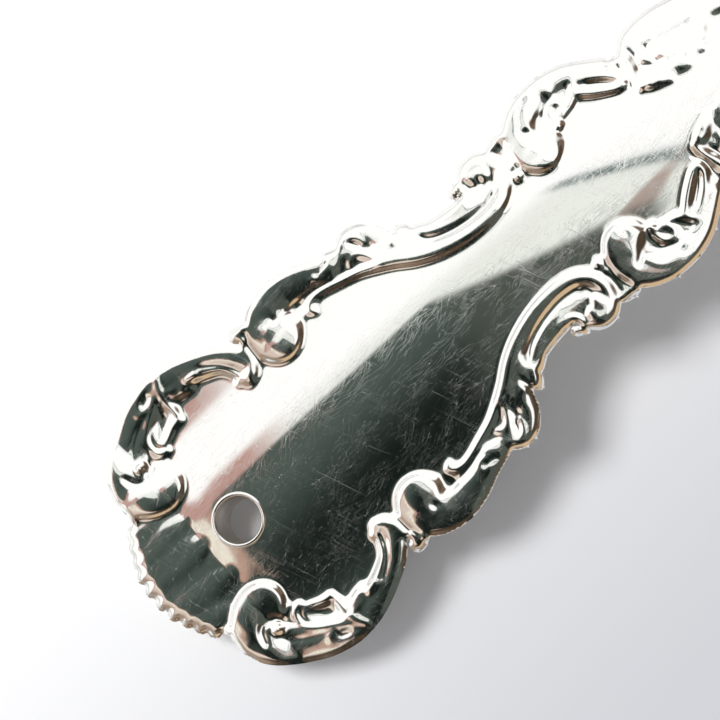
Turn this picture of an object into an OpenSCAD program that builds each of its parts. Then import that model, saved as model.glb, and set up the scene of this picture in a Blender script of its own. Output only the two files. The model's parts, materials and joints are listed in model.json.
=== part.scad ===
// Silver baby rattle, lying on its back with the front of the handle up.
// A hollow scroll-bordered handle with a ribbon hole carries a ball of loose pellets and two small bells.
// Millimetres: +X runs from the handle's tip to the head, +Z is up, and z = 0 is the table.

/* [Handle] */
// Length of the handle from its tip to the ferrule
handle_len = 72; // [64:1:84]
// Width across the widest pair of scrolls
handle_w = 21.4; // [18:0.2:25]
// Thickness of the handle through the smooth panel at the ribbon hole
tip_thick = 3.4; // [3:0.1:4.6]
// Thickness of the handle through the panel where the neck meets the ferrule
neck_thick = 7; // [6.4:0.1:8.4]
// Height of a full scroll above the panel
relief = 1; // [0.6:0.05:1.3]
// Sheet thickness of the two stamped shells
shell_wall = 0.7; // [0.5:0.05:0.9]
// Width of the flat rim on which the shells are soldered together
seam_w = 1.7; // [1.2:0.1:2]

/* [Ribbon hole] */
// Bore of the ribbon eyelet
hole_d = 3; // [2:0.1:3.6]
// Distance of the ribbon hole from the tip of the handle
hole_from_tip = 8; // [7:0.1:10]
// Wall of the eyelet tube
eyelet_wall = 0.18; // [0.12:0.01:0.3]
// How far the eyelet's rolled rim reaches over the panel
eyelet_rim = 0.14; // [0.08:0.01:0.3]
// Thickness of the rolled rim above the panel
eyelet_lip = 0.2; // [0.12:0.01:0.4]

/* [Ferrule] */
// Length of the turned ferrule between handle and head
ferrule_len = 7; // [5.5:0.1:10]
// Diameter of the ferrule's flange at the handle
ferrule_d = 10.6; // [10:0.1:13]
// Diameter of the ferrule's narrow waist
waist_d = 6; // [5:0.1:7]
// Diameter of the ring turned on the waist
waist_ring_d = 8.4; // [7.6:0.1:9.6]
// Diameter of the tang that joins head and handle
tang_d = 3; // [2:0.1:3.2]
// Length of tang inside the handle
tang_in_handle = 12; // [6:0.5:20]

/* [Head] */
// Diameter of the ball
ball_d = 28; // [24:0.5:34]
// Sheet thickness of the ball's two cups
ball_wall = 0.6; // [0.4:0.05:0.9]
// Thickness of the calyx cup that seats the ball
calyx_t = 1; // [0.7:0.05:1.4]
// Angle that the calyx reaches up the ball, from the handle's axis
calyx_angle = 42; // [34:1:52]
// Number of leaves on the calyx
calyx_leaves = 12; // [8:1:16]
// How far the girdle band stands proud of the ball
girdle_t = 0.9; // [0.6:0.05:1.2]
// Radius of the girdle's rounded face
girdle_r = 1.5; // [1.3:0.05:2]
// Diameter of the round crown knop
knop_d = 4; // [3:0.1:5]
// Diameter of a pellet
pellet_d = 3; // [2:0.1:3.6]

/* [Bells] */
// Diameter of a bell
bell_d = 8; // [6:0.1:8.6]
// Sheet thickness of a bell
bell_wall = 0.45; // [0.3:0.05:0.7]
// How far the crimped rim stands out from a bell
bell_rim = 0.35; // [0.2:0.05:0.6]
// Width of the sound slot under a bell
slot_w = 0.9; // [0.6:0.05:1.2]
// Diameter of the hole at each end of the sound slot
slot_hole_d = 1.4; // [1.2:0.05:1.7]
// Diameter of the pellet in a bell
bell_pellet_d = 2.2; // [2:0.1:2.6]
// Wire diameter of the eyes, loops and jump rings
wire_d = 0.8; // [0.6:0.05:0.9]
// Inside diameter of an eye or a bell's loop
eye_id = 1.4; // [1.3:0.05:1.6]
// Inside diameter of a jump ring
ring_id = 2.6; // [2.5:0.05:3.2]
// Length of the post under an eye on the girdle
eye_post = 1; // [0.8:0.05:1.6]
// Length of the post under the loop on a bell
loop_post = 0.25; // [0.1:0.05:0.6]

/* [Fits] */
// Gap between soldered pieces that meet on a curved face
solder_gap = 0.02; // [0.01:0.01:0.05]
// Room around a loose pellet
loose_gap = 0.25; // [0.15:0.05:0.5]

/* [Hidden] */
// Half width of the smooth body under the border, as [along, half width]
BODY_EDGE = [
    [0.6, 1.6], [1.2, 3.0], [2.2, 4.2], [3.2, 5.8], [4.6, 7.2], [6.2, 8.4], [8.0, 9.3], [10, 9.5],
    [12, 9.0], [14, 8.1], [15.6, 7.9], [17.2, 8.0], [19.2, 8.6], [21, 8.3], [23, 7.7], [25, 7.6],
    [26.4, 7.0], [27.6, 6.1], [28.4, 5.7], [29.4, 4.9], [31.5, 4.4], [33.5, 5.3], [35.2, 5.5], [36.6, 5.7],
    [38, 5.9], [40, 6.4], [42, 6.2], [43.6, 5.6], [45, 5.0], [46.6, 4.9], [48.5, 5.0], [51, 4.5],
    [54, 3.9], [57, 4.2], [59.4, 4.7], [61, 4.6], [63, 4.6], [66, 4.0], [69, 3.8], [72, 3.8]
];

// Scrolls on one side of the axis: each point is [along, across, half width, share of the relief]
TIP_SCROLL = [
    [6.7, 4.8, 0.65, 0.70], [5.6, 4.4, 1.3, 1.05], [4.3, 4.5, 1.5, 1.15], [3.8, 5.5, 1.45, 1.15],
    [4.4, 6.85, 1.4, 1.1], [5.2, 7.75, 1.35, 1.05], [6.2, 8.5, 1.25, 1.0], [7.4, 9.2, 1.15, 0.95],
    [9.0, 9.7, 1.0, 0.95], [10.8, 9.55, 0.95, 0.95], [12.6, 8.85, 0.95, 1.0], [14.0, 8.1, 0.9, 1.0],
    [14.95, 7.2, 0.75, 0.95], [15.0, 6.3, 0.6, 0.85], [14.5, 5.95, 0.5, 0.75]
];
TIP_LEAF = [[7.0, 6.3, 0.4, 0.5], [7.5, 7.3, 0.55, 0.6], [8.4, 8.1, 0.7, 0.7], [9.6, 8.6, 0.7, 0.8]];
TIP_LOBE = [[10.3, 8.3, 0.7, 0.6], [11.4, 8.4, 0.7, 0.7]];
MIDDLE_SCROLL = [
    [18.6, 6.5, 1.0, 1.0], [17.7, 6.55, 1.6, 1.25], [17.4, 7.3, 1.45, 1.2], [17.9, 8.1, 1.3, 1.15],
    [19.3, 8.6, 1.15, 1.05], [20.8, 8.45, 1.05, 1.0], [22.3, 8.0, 0.9, 0.95], [23.7, 7.55, 0.75, 0.9],
    [24.9, 7.2, 0.7, 0.9], [25.8, 6.5, 0.75, 0.9], [26.5, 5.6, 0.8, 0.9]
];
LEAF_SCROLL = [
    [24.4, 7.9, 0.4, 0.6], [25.1, 8.2, 0.55, 0.75], [26.0, 8.05, 0.6, 0.8], [26.7, 7.3, 0.65, 0.85],
    [27.0, 6.3, 0.75, 0.9], [28.2, 6.1, 0.5, 0.7]
];
LONG_SCROLL = [
    [20.5, 5.95, 0.35, 0.5], [20.6, 6.5, 0.4, 0.6], [21.6, 6.75, 0.45, 0.65], [23.2, 6.3, 0.5, 0.7],
    [25.0, 5.5, 0.6, 0.8], [27.0, 4.45, 0.75, 0.9], [29.0, 3.45, 0.7, 0.95], [31.0, 2.95, 0.6, 0.95],
    [33.0, 2.95, 0.6, 0.95], [34.6, 3.5, 0.6, 0.95], [35.4, 4.5, 0.6, 0.95], [35.1, 5.5, 0.65, 0.95],
    [34.2, 6.0, 0.6, 0.9], [33.5, 5.5, 0.5, 0.8]
];
LOW_CURL = [
    [28.6, 5.6, 0.45, 0.8], [29.4, 4.9, 0.5, 0.75], [30.6, 4.6, 0.5, 0.75], [31.9, 4.5, 0.5, 0.8],
    [32.7, 4.85, 0.45, 0.8], [32.6, 5.3, 0.4, 0.7]
];
NECK_SCROLL = [
    [39.0, 3.5, 0.9, 0.9], [38.2, 3.65, 1.4, 1.2], [37.7, 4.6, 1.2, 1.15], [38.0, 5.6, 1.1, 1.1],
    [39.2, 6.3, 1.0, 1.0], [40.8, 6.55, 0.85, 0.95], [42.3, 6.3, 0.75, 0.9], [43.5, 5.7, 0.65, 0.85],
    [44.6, 5.0, 0.6, 0.85]
];
SHANK_SCROLL = [
    [44.4, 4.0, 0.4, 0.7], [44.9, 3.3, 0.5, 0.8], [45.8, 3.4, 0.55, 0.85], [46.1, 4.4, 0.6, 0.85],
    [47.2, 5.1, 0.65, 0.85], [49.0, 5.1, 0.65, 0.85], [51.0, 4.6, 0.6, 0.85], [53.0, 3.9, 0.55, 0.85],
    [55.0, 3.4, 0.55, 0.85], [56.8, 3.3, 0.55, 0.9], [58.0, 3.8, 0.55, 0.9], [58.0, 4.7, 0.55, 0.85],
    [57.1, 5.0, 0.45, 0.8]
];
COLLAR_SCROLL = [
    [61.5, 3.3, 0.7, 0.8], [60.8, 3.4, 1.0, 1.0], [60.5, 4.2, 0.9, 0.95], [61.3, 4.8, 0.75, 0.9],
    [62.8, 4.8, 0.6, 0.85], [64.6, 4.4, 0.55, 0.8], [66.6, 3.9, 0.5, 0.7], [68.6, 3.6, 0.4, 0.5]
];
FAN_MIDDLE = [[1.0, 0, 0.9, 0.35], [2.4, 0, 1.0, 0.75], [3.9, 0, 0.95, 0.7], [4.9, 0, 0.6, 0.45]];
FAN_NEAR = [[0.95, 1.35, 0.75, 0.35], [2.3, 1.7, 0.95, 0.75], [3.9, 2.0, 0.9, 0.7], [5.1, 2.1, 0.6, 0.45]];
FAN_FAR = [[1.6, 2.8, 0.7, 0.35], [2.6, 3.2, 0.8, 0.7], [3.4, 3.3, 0.6, 0.5]];
SCROLLS = [
    TIP_SCROLL, TIP_LEAF, TIP_LOBE, MIDDLE_SCROLL, LEAF_SCROLL, LONG_SCROLL, LOW_CURL, NECK_SCROLL,
    SHANK_SCROLL, COLLAR_SCROLL, FAN_NEAR, FAN_FAR
];

// Round beads between the scrolls, in the same form as a scroll's points
BEADS = [
    [15.9, 8.5, 0.65, 0.7], [36.3, 3.5, 0.4, 0.6], [36.4, 4.3, 0.3, 0.5], [36.3, 6.1, 0.5, 0.6],
    [59.3, 3.5, 0.45, 0.6], [59.3, 4.6, 0.4, 0.5],
    [0.45, 0.5, 0.45, 0.05], [0.6, 1.4, 0.45, 0.05], [1.0, 2.2, 0.45, 0.05], [1.45, 3.0, 0.5, 0.05],
    [1.95, 3.8, 0.5, 0.05]
];

// The border's own length and width, as drawn above, stretched to the handle's
drawn_len = BODY_EDGE[len(BODY_EDGE) - 1][0];
drawn_w = 2 * max([for (p = TIP_SCROLL) p[1] + p[2]]);
stretch_x = handle_len / drawn_len;
stretch_y = handle_w / drawn_w;

// A scroll's section as shares of its height and half width: a steep side, then a rounded top
shoulder_rise_share = 0.62;
shoulder_share = 0.86;
crest_share = 0.4;
dome_sides = 7;
// Share of the panel's crown that is left at its edge, and strips across the panel
edge_share = 0.42;
strips = 8;
// The hollow starts at the first drawn row this far behind the tip, and never gets thinner than its floor
hollow_from = 3;
hollow_floor = 0.15;
// A cut runs this far past the faces that it goes through
past = 0.5;
round_sides = 96;
hole_sides = 32;

function panel_half_w(x) = lookup(x / stretch_x, BODY_EDGE) * stretch_y;

// Height of the panel's crown above the seam: it rises from the tip and levels out at the neck
function crown_share(s) = s < 0 ? 2 * s : 1 - pow(1 - s, 2);
function crown(x) = (tip_thick + (neck_thick - tip_thick)
    * crown_share((x - hole_from_tip) / (handle_len - hole_from_tip))) / 2;
function across(x, y) = min(1, abs(y) / panel_half_w(x));
function panel_z(x, y) = crown(x) * (1 - (1 - edge_share) * pow(across(x, y), 2));
function crest_z(p) = panel_z(p[0] * stretch_x, p[1] * stretch_y) + p[3] * relief;

eyelet_r = hole_d / 2 + eyelet_wall;
eyelet_half_len = crown(hole_from_tip) + eyelet_lip;

ball_r = ball_d / 2;
head_x = handle_len + ferrule_len + calyx_t + ball_r;
girdle_path_r = ball_r + girdle_t - girdle_r;
knop_neck = knop_d * 0.3;
knop_x = head_x + ball_r + knop_neck + knop_d / 2;

// The rattle rests on the girdle and on the two tip scrolls of the back
foot = TIP_SCROLL[2];
foot_x = (foot[0] - foot[2] * crest_share) * stretch_x;
foot_z = crest_z(foot);
pitch = asin(girdle_r / norm([head_x - foot_x, foot_z - girdle_path_r]))
    - atan2(foot_z - girdle_path_r, head_x - foot_x);
lift = foot_z * cos(pitch) - foot_x * sin(pitch);
mid_x = (knop_x * cos(pitch) + knop_d / 2) / 2;
head_at = [head_x * cos(pitch) - mid_x, 0, head_x * sin(pitch) + lift];

wire_r = wire_d / 2;
eye_r = eye_id / 2 + wire_r;
eye_out = eye_r + wire_r;
ring_r = ring_id / 2 + wire_r;
eye_y = ball_r + girdle_t + eye_post + eye_out;
bell_r = bell_d / 2;
loop_drop = 2 * ring_r;
bell_drop = loop_drop + eye_out + loop_post + bell_r;
slot_end_z = -bell_r * 0.35;
bell_roll_r = bell_r - bell_wall - bell_pellet_d / 2 - loose_gap;

pellet_count = 5;
roll_reach = ball_r - ball_wall - pellet_d / 2 - loose_gap;
pellet_pitch = pellet_d + loose_gap;
function pellet_x(i) = (i - (pellet_count - 1) / 2) * pellet_pitch;
function pellet_roll_r(i) = sqrt(pow(roll_reach, 2) - pow(pellet_x(i), 2));

LEFT = 1;
RIGHT = -1;

// Handle frame, tip at the origin, laid down on the table
module lay() {
    translate([-mid_x, 0, lift]) rotate([0, -pitch, 0]) children();
}

// A profile of [radius, along] turned about the handle's axis
module turned(x) {
    translate([x, 0, 0]) rotate([0, 90, 0]) rotate_extrude($fn = round_sides) children();
}

// Middle of the eye on one side of the head
module at_eye(side) {
    translate(head_at + [0, side * eye_y, 0]) children();
}

// Solid under the panel, from floor_z up, narrower by inset, lower by drop and longer by overrun
module panel_body(inset = 0, drop = 0, from = 0, floor_z = 0, overrun = 0) {
    drawn = [for (e = BODY_EDGE) if (e[0] * stretch_x >= from) e[0] * stretch_x];
    rows = overrun > 0 ? concat(drawn, handle_len + overrun) : drawn;
    cols = strips + 1;
    count = len(rows) * cols;
    function half_w(x) = panel_half_w(x) - inset;
    function top_z(x, t) = max(hollow_floor, panel_z(x, t * half_w(x)) - drop);
    function at(r, c) = r * cols + c;
    share = [for (c = [0:strips]) 2 * c / strips - 1];
    top = [for (x = rows) for (t = share) [x, t * half_w(x), top_z(x, t)]];
    floor = [for (x = rows) for (t = share) [x, t * half_w(x), floor_z]];
    last = len(rows) - 1;
    faces = [
        for (r = [0:last - 1]) for (c = [0:strips - 1])
            each [
                [at(r, c), at(r, c + 1), at(r + 1, c + 1)],
                [at(r, c), at(r + 1, c + 1), at(r + 1, c)],
                [count + at(r, c), count + at(r + 1, c + 1), count + at(r, c + 1)],
                [count + at(r, c), count + at(r + 1, c), count + at(r + 1, c + 1)]
            ],
        for (r = [0:last - 1])
            each [
                [at(r, 0), at(r + 1, 0), count + at(r + 1, 0)],
                [at(r, 0), count + at(r + 1, 0), count + at(r, 0)],
                [at(r, strips), count + at(r + 1, strips), at(r + 1, strips)],
                [at(r, strips), count + at(r, strips), count + at(r + 1, strips)]
            ],
        for (c = [0:strips - 1])
            each [
                [at(0, c), count + at(0, c + 1), at(0, c + 1)],
                [at(0, c), count + at(0, c), count + at(0, c + 1)],
                [at(last, c), at(last, c + 1), count + at(last, c + 1)],
                [at(last, c), count + at(last, c + 1), count + at(last, c)]
            ]
    ];
    polyhedron(concat(top, floor), faces);
}

// One point of a scroll: a low dome from the seam to the crest
module dome(p) {
    h = crest_z(p);
    shoulder_z = h * shoulder_rise_share;
    shoulder_r = p[2] * shoulder_share;
    translate([p[0] * stretch_x, p[1] * stretch_y, 0]) scale([stretch_x, stretch_y, 1]) {
        cylinder(h = shoulder_z, r1 = p[2], r2 = shoulder_r, $fn = dome_sides);
        translate([0, 0, shoulder_z])
            cylinder(h = h - shoulder_z, r1 = shoulder_r, r2 = p[2] * crest_share, $fn = dome_sides);
    }
}

module scroll(points) {
    for (i = [0:len(points) - 2]) hull() {
        dome(points[i]);
        dome(points[i + 1]);
    }
}

module border_side() {
    for (s = SCROLLS) scroll(s);
    for (b = BEADS) hull() dome(b);
}

// Room in a shell for the eyelet's tube or its rolled rim, from a height up
module hole_cut(r, from_z) {
    translate([0, 0, from_z - solder_gap]) cylinder(
        h = neck_thick + past, r = (r + solder_gap) / cos(180 / hole_sides), $fn = hole_sides
    );
}

// Front half of the handle, with its flat rim on the seam plane
module stamped_shell() {
    difference() {
        union() {
            panel_body();
            border_side();
            mirror([0, 1, 0]) border_side();
            scroll(FAN_MIDDLE);
        }
        panel_body(seam_w, shell_wall, hollow_from, -past, past);
        translate([hole_from_tip, 0, 0]) {
            hole_cut(eyelet_r, -past);
            hole_cut(eyelet_r + eyelet_rim, crown(hole_from_tip));
        }
    }
}

module front_shell() {
    color("silver") lay() stamped_shell();
}

module back_shell() {
    color("silver") lay() mirror([0, 0, 1]) stamped_shell();
}

module ribbon_eyelet() {
    color("gainsboro") lay() translate([hole_from_tip, 0, 0]) difference() {
        union() {
            cylinder(h = 2 * eyelet_half_len, r = eyelet_r, center = true, $fn = round_sides);
            for (side = [-1, 1]) translate([0, 0, side * (eyelet_half_len - eyelet_lip / 2)])
                cylinder(h = eyelet_lip, r = eyelet_r + eyelet_rim, center = true, $fn = round_sides);
        }
        cylinder(h = 2 * (eyelet_half_len + past), r = hole_d / 2, center = true, $fn = round_sides);
    }
}

module head_tang() {
    color("gray") lay() turned(handle_len - tang_in_handle)
        square([tang_d / 2, tang_in_handle + ferrule_len]);
}

module neck_ferrule() {
    flange_t = ferrule_len * 0.2;
    bore_r = tang_d / 2 + solder_gap;
    waist = waist_d / 2 - bore_r;
    ring_rad = (waist_ring_d - waist_d) / 2;
    color("silver") lay() turned(handle_len) {
        translate([bore_r, 0]) square([waist, ferrule_len]);
        translate([bore_r, 0]) square([ferrule_d / 2 - flange_t / 2 - bore_r, flange_t]);
        translate([ferrule_d / 2 - flange_t / 2, flange_t / 2]) circle(flange_t / 2, $fn = round_sides);
        translate([waist_d / 2, ferrule_len * 0.52]) circle(ring_rad, $fn = round_sides);
        translate([bore_r, ferrule_len - flange_t / 2]) square([waist + ring_rad / 2, flange_t / 2]);
    }
}

module calyx_cup() {
    outer_r = ball_r + calyx_t;
    edge_r = outer_r * sin(calyx_angle);
    notch_r = edge_r * sin(180 / calyx_leaves) * 0.55;
    color("silver") lay() translate([head_x, 0, 0]) rotate([0, 90, 0]) difference() {
        rotate_extrude($fn = round_sides) difference() {
            union() {
                intersection() {
                    circle(outer_r, $fn = round_sides);
                    polygon([[0, 0], [outer_r * 2 * sin(calyx_angle), -outer_r * 2 * cos(calyx_angle)],
                        [0, -outer_r * 2]]);
                }
                translate([0, -outer_r]) square([waist_d / 2, calyx_t]);
            }
            circle(ball_r + solder_gap, $fn = round_sides);
            translate([-outer_r, -outer_r]) square([outer_r, 2 * outer_r]);
        }
        for (i = [0:calyx_leaves - 1]) rotate([0, 0, 360 * i / calyx_leaves])
            rotate([0, 180 - calyx_angle, 0])
                cylinder(h = outer_r + past, r = notch_r, $fn = 48);
    }
}

// Half of a hollow ball as a profile of [radius, along], on the side that dir names
module half_ball(r, wall, dir) {
    intersection() {
        difference() {
            circle(r, $fn = round_sides);
            circle(r - wall, $fn = round_sides);
        }
        translate([0, dir > 0 ? 0 : -r]) square([r, r]);
    }
}

module lower_cup() {
    color("silver") lay() turned(head_x) half_ball(ball_r, ball_wall, -1);
}

module upper_cup() {
    color("silver") lay() turned(head_x) half_ball(ball_r, ball_wall, 1);
}

module girdle_band() {
    color("gainsboro") lay() turned(head_x) difference() {
        translate([girdle_path_r, 0]) circle(girdle_r, $fn = round_sides);
        circle(ball_r + solder_gap, $fn = round_sides);
    }
}

module crown_knop() {
    foot_r = knop_d * 0.62;
    color("silver") lay() turned(head_x) difference() {
        union() {
            translate([0, ball_r - knop_neck]) square([foot_r, knop_neck * 1.6]);
            translate([0, ball_r]) square([knop_d * 0.3, knop_neck * 1.6]);
            intersection() {
                translate([0, knop_x - head_x]) circle(knop_d / 2, $fn = round_sides);
                translate([0, ball_r]) square([knop_d, knop_d * 2]);
            }
        }
        circle(ball_r + solder_gap, $fn = round_sides);
    }
}

// A loose ball at the bottom of the head, rolling in its own plane
module rattle_pellet(i) {
    color("gray") translate(head_at + [pellet_x(i), 0, -pellet_roll_r(i)])
        sphere(d = pellet_d, $fn = round_sides);
}

// Wire ring about an axis that the caller sets, flat in the XY plane
module wire_ring(r) {
    rotate_extrude($fn = round_sides) translate([r, 0]) circle(wire_r, $fn = 48);
}

// An eye standing on a round surface: its post points down to a ball of radius r
module eye_on(r, post) {
    difference() {
        union() {
            rotate([0, 90, 0]) wire_ring(eye_r);
            translate([0, 0, -eye_out - post - past]) cylinder(
                h = post + past + wire_r, r = wire_r * 0.95, $fn = 48
            );
        }
        translate([0, 0, -eye_out - post - r]) sphere(r + solder_gap, $fn = round_sides);
    }
}

module bell_eye(side) {
    color("silver") at_eye(side) rotate([-90 * side, 0, 0]) eye_on(ball_r + girdle_t, eye_post);
}

module jump_ring(side) {
    color("silver") at_eye(side) translate([0, 0, -ring_r]) rotate([90, 0, 0]) wire_ring(ring_r);
}

module bell_loop(side) {
    color("silver") at_eye(side) translate([0, 0, -loop_drop]) eye_on(bell_r, loop_post);
}

// Half bell with its share of the crimped rim, as a profile of [radius, height]
module half_bell(dir) {
    half_ball(bell_r, bell_wall, dir);
    translate([bell_r - bell_wall / 2, dir > 0 ? 0 : -bell_wall])
        square([bell_rim + bell_wall / 2, bell_wall]);
}

module bell_cap(side) {
    color("silver") at_eye(side) translate([0, 0, -bell_drop])
        rotate_extrude($fn = round_sides) half_bell(1);
}

module bell_base(side) {
    color("silver") at_eye(side) translate([0, 0, -bell_drop]) difference() {
        rotate_extrude($fn = round_sides) half_bell(-1);
        translate([-bell_d, -slot_w / 2, -bell_d]) cube([2 * bell_d, slot_w, bell_d + slot_end_z]);
        translate([0, 0, slot_end_z]) rotate([0, 90, 0])
            cylinder(h = 2 * bell_d, d = slot_hole_d, center = true, $fn = 48);
    }
}

module bell_pellet(side) {
    color("gray") at_eye(side) translate([0, 0, -bell_drop - bell_roll_r])
        sphere(d = bell_pellet_d, $fn = round_sides);
}

front_shell();
back_shell();
ribbon_eyelet();
head_tang();
neck_ferrule();
calyx_cup();
lower_cup();
upper_cup();
girdle_band();
crown_knop();
rattle_pellet(0);  // rattle_pellet_1
rattle_pellet(1);  // rattle_pellet_2
rattle_pellet(2);  // rattle_pellet_3
rattle_pellet(3);  // rattle_pellet_4
rattle_pellet(4);  // rattle_pellet_5
bell_eye(LEFT);  // left_bell_eye
jump_ring(LEFT);  // left_jump_ring
bell_loop(LEFT);  // left_bell_loop
bell_cap(LEFT);  // left_bell_cap
bell_base(LEFT);  // left_bell_base
bell_pellet(LEFT);  // left_bell_pellet
bell_eye(RIGHT);  // right_bell_eye
jump_ring(RIGHT);  // right_jump_ring
bell_loop(RIGHT);  // right_bell_loop
bell_cap(RIGHT);  // right_bell_cap
bell_base(RIGHT);  // right_bell_base
bell_pellet(RIGHT);  // right_bell_pellet
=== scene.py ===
"""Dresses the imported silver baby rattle: polished meshes, finishes, studio and camera.

Handle coordinates are millimetres with the tip of the handle at the origin, x towards the head, y across and
z up from the seam between the two stamped shells. HandleFrame turns them into metres in the row frame.
"""

from __future__ import annotations

import json
import logging
import math
from dataclasses import dataclass, field
from enum import Enum
from typing import Iterable, Sequence

import bmesh
import bpy
import numpy as np
from mathutils import Matrix, Vector
from mathutils.geometry import delaunay_2d_cdt

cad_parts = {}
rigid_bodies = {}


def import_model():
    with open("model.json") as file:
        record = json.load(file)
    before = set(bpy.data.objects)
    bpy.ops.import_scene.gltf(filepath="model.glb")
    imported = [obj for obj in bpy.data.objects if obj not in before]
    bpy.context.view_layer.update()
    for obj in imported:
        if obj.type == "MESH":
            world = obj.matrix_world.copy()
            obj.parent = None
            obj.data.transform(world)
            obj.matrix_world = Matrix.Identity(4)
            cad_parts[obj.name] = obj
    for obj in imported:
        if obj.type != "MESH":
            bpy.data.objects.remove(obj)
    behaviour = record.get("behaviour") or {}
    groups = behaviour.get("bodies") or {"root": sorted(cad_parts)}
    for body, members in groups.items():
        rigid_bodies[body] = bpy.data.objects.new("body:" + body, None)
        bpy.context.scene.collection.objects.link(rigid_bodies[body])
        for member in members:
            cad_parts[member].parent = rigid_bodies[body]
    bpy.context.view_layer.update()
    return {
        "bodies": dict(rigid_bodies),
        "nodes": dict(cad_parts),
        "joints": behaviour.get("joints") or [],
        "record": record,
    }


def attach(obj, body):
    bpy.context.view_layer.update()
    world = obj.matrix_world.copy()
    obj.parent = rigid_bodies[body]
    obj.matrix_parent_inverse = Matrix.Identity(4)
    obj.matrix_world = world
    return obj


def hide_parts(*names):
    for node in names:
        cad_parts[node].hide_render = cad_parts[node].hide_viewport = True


LOG = logging.getLogger("rattle")
MM = 0.001
ROOT_BODY = "handle_and_head"
# Places on the handle's axis, in millimetres from its tip
HOLE_FROM_TIP = 8.0
HANDLE_LEN = 72.0
HEAD_AT = 94.0
# Fill rule of the flat triangulation: all triangles within the outermost outline
INSIDE_OUTLINE = 1
# Points nearer than this are one, in millimetres on the flat seam and in metres in a mesh
SAME_FLAT_POINT = 1e-9
SAME_MESH_POINT = 1e-8
# A point of a turned profile nearer to the axis than this is a pole
ON_AXIS = 1e-9
# A round bead is drawn as a stroke of this length
BEAD_LEN = 0.05
# Sockets of the mixing node that carry colours
MIX_FACTOR, MIX_A, MIX_B, MIX_RESULT = 0, 6, 7, 2

Point4 = tuple[float, float, float, float]
Stroke = tuple[Point4, ...]
Span = tuple[float, float]
Profile = list[Span]
Colour = tuple[float, float, float]
Shape = tuple[np.ndarray, list[tuple[int, ...]]]


class Mark(Enum):
    """Which of the sheet's layers a stroke is drawn on."""

    CREST = "gently domed top of a ridge"
    STEP = "short steep side of a ridge"
    PLATE = "full height of a ridge as far as its side"
    GROOVE = "channel sunk into what is already there"


class Face(Enum):
    """Which half of the handle a shell is, as the sign of its height above the seam."""

    FRONT = 1
    BACK = -1


class Side(Enum):
    """Side of the head that a bell hangs on, as the sign of its place across."""

    LEFT = 1
    RIGHT = -1


def bead(along: float, across: float, half_width: float, rise: float) -> Stroke:
    """Writes a round bead, or a round pit, as a very short stroke.

    Args:
        along: Place along the handle.
        across: Place across the handle.
        half_width: Radius of the bead.
        rise: Height of the bead, or depth of the pit.

    Returns:
        The stroke.
    """
    return (along, across, half_width, rise), (along + BEAD_LEN, across, half_width, rise)


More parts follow.
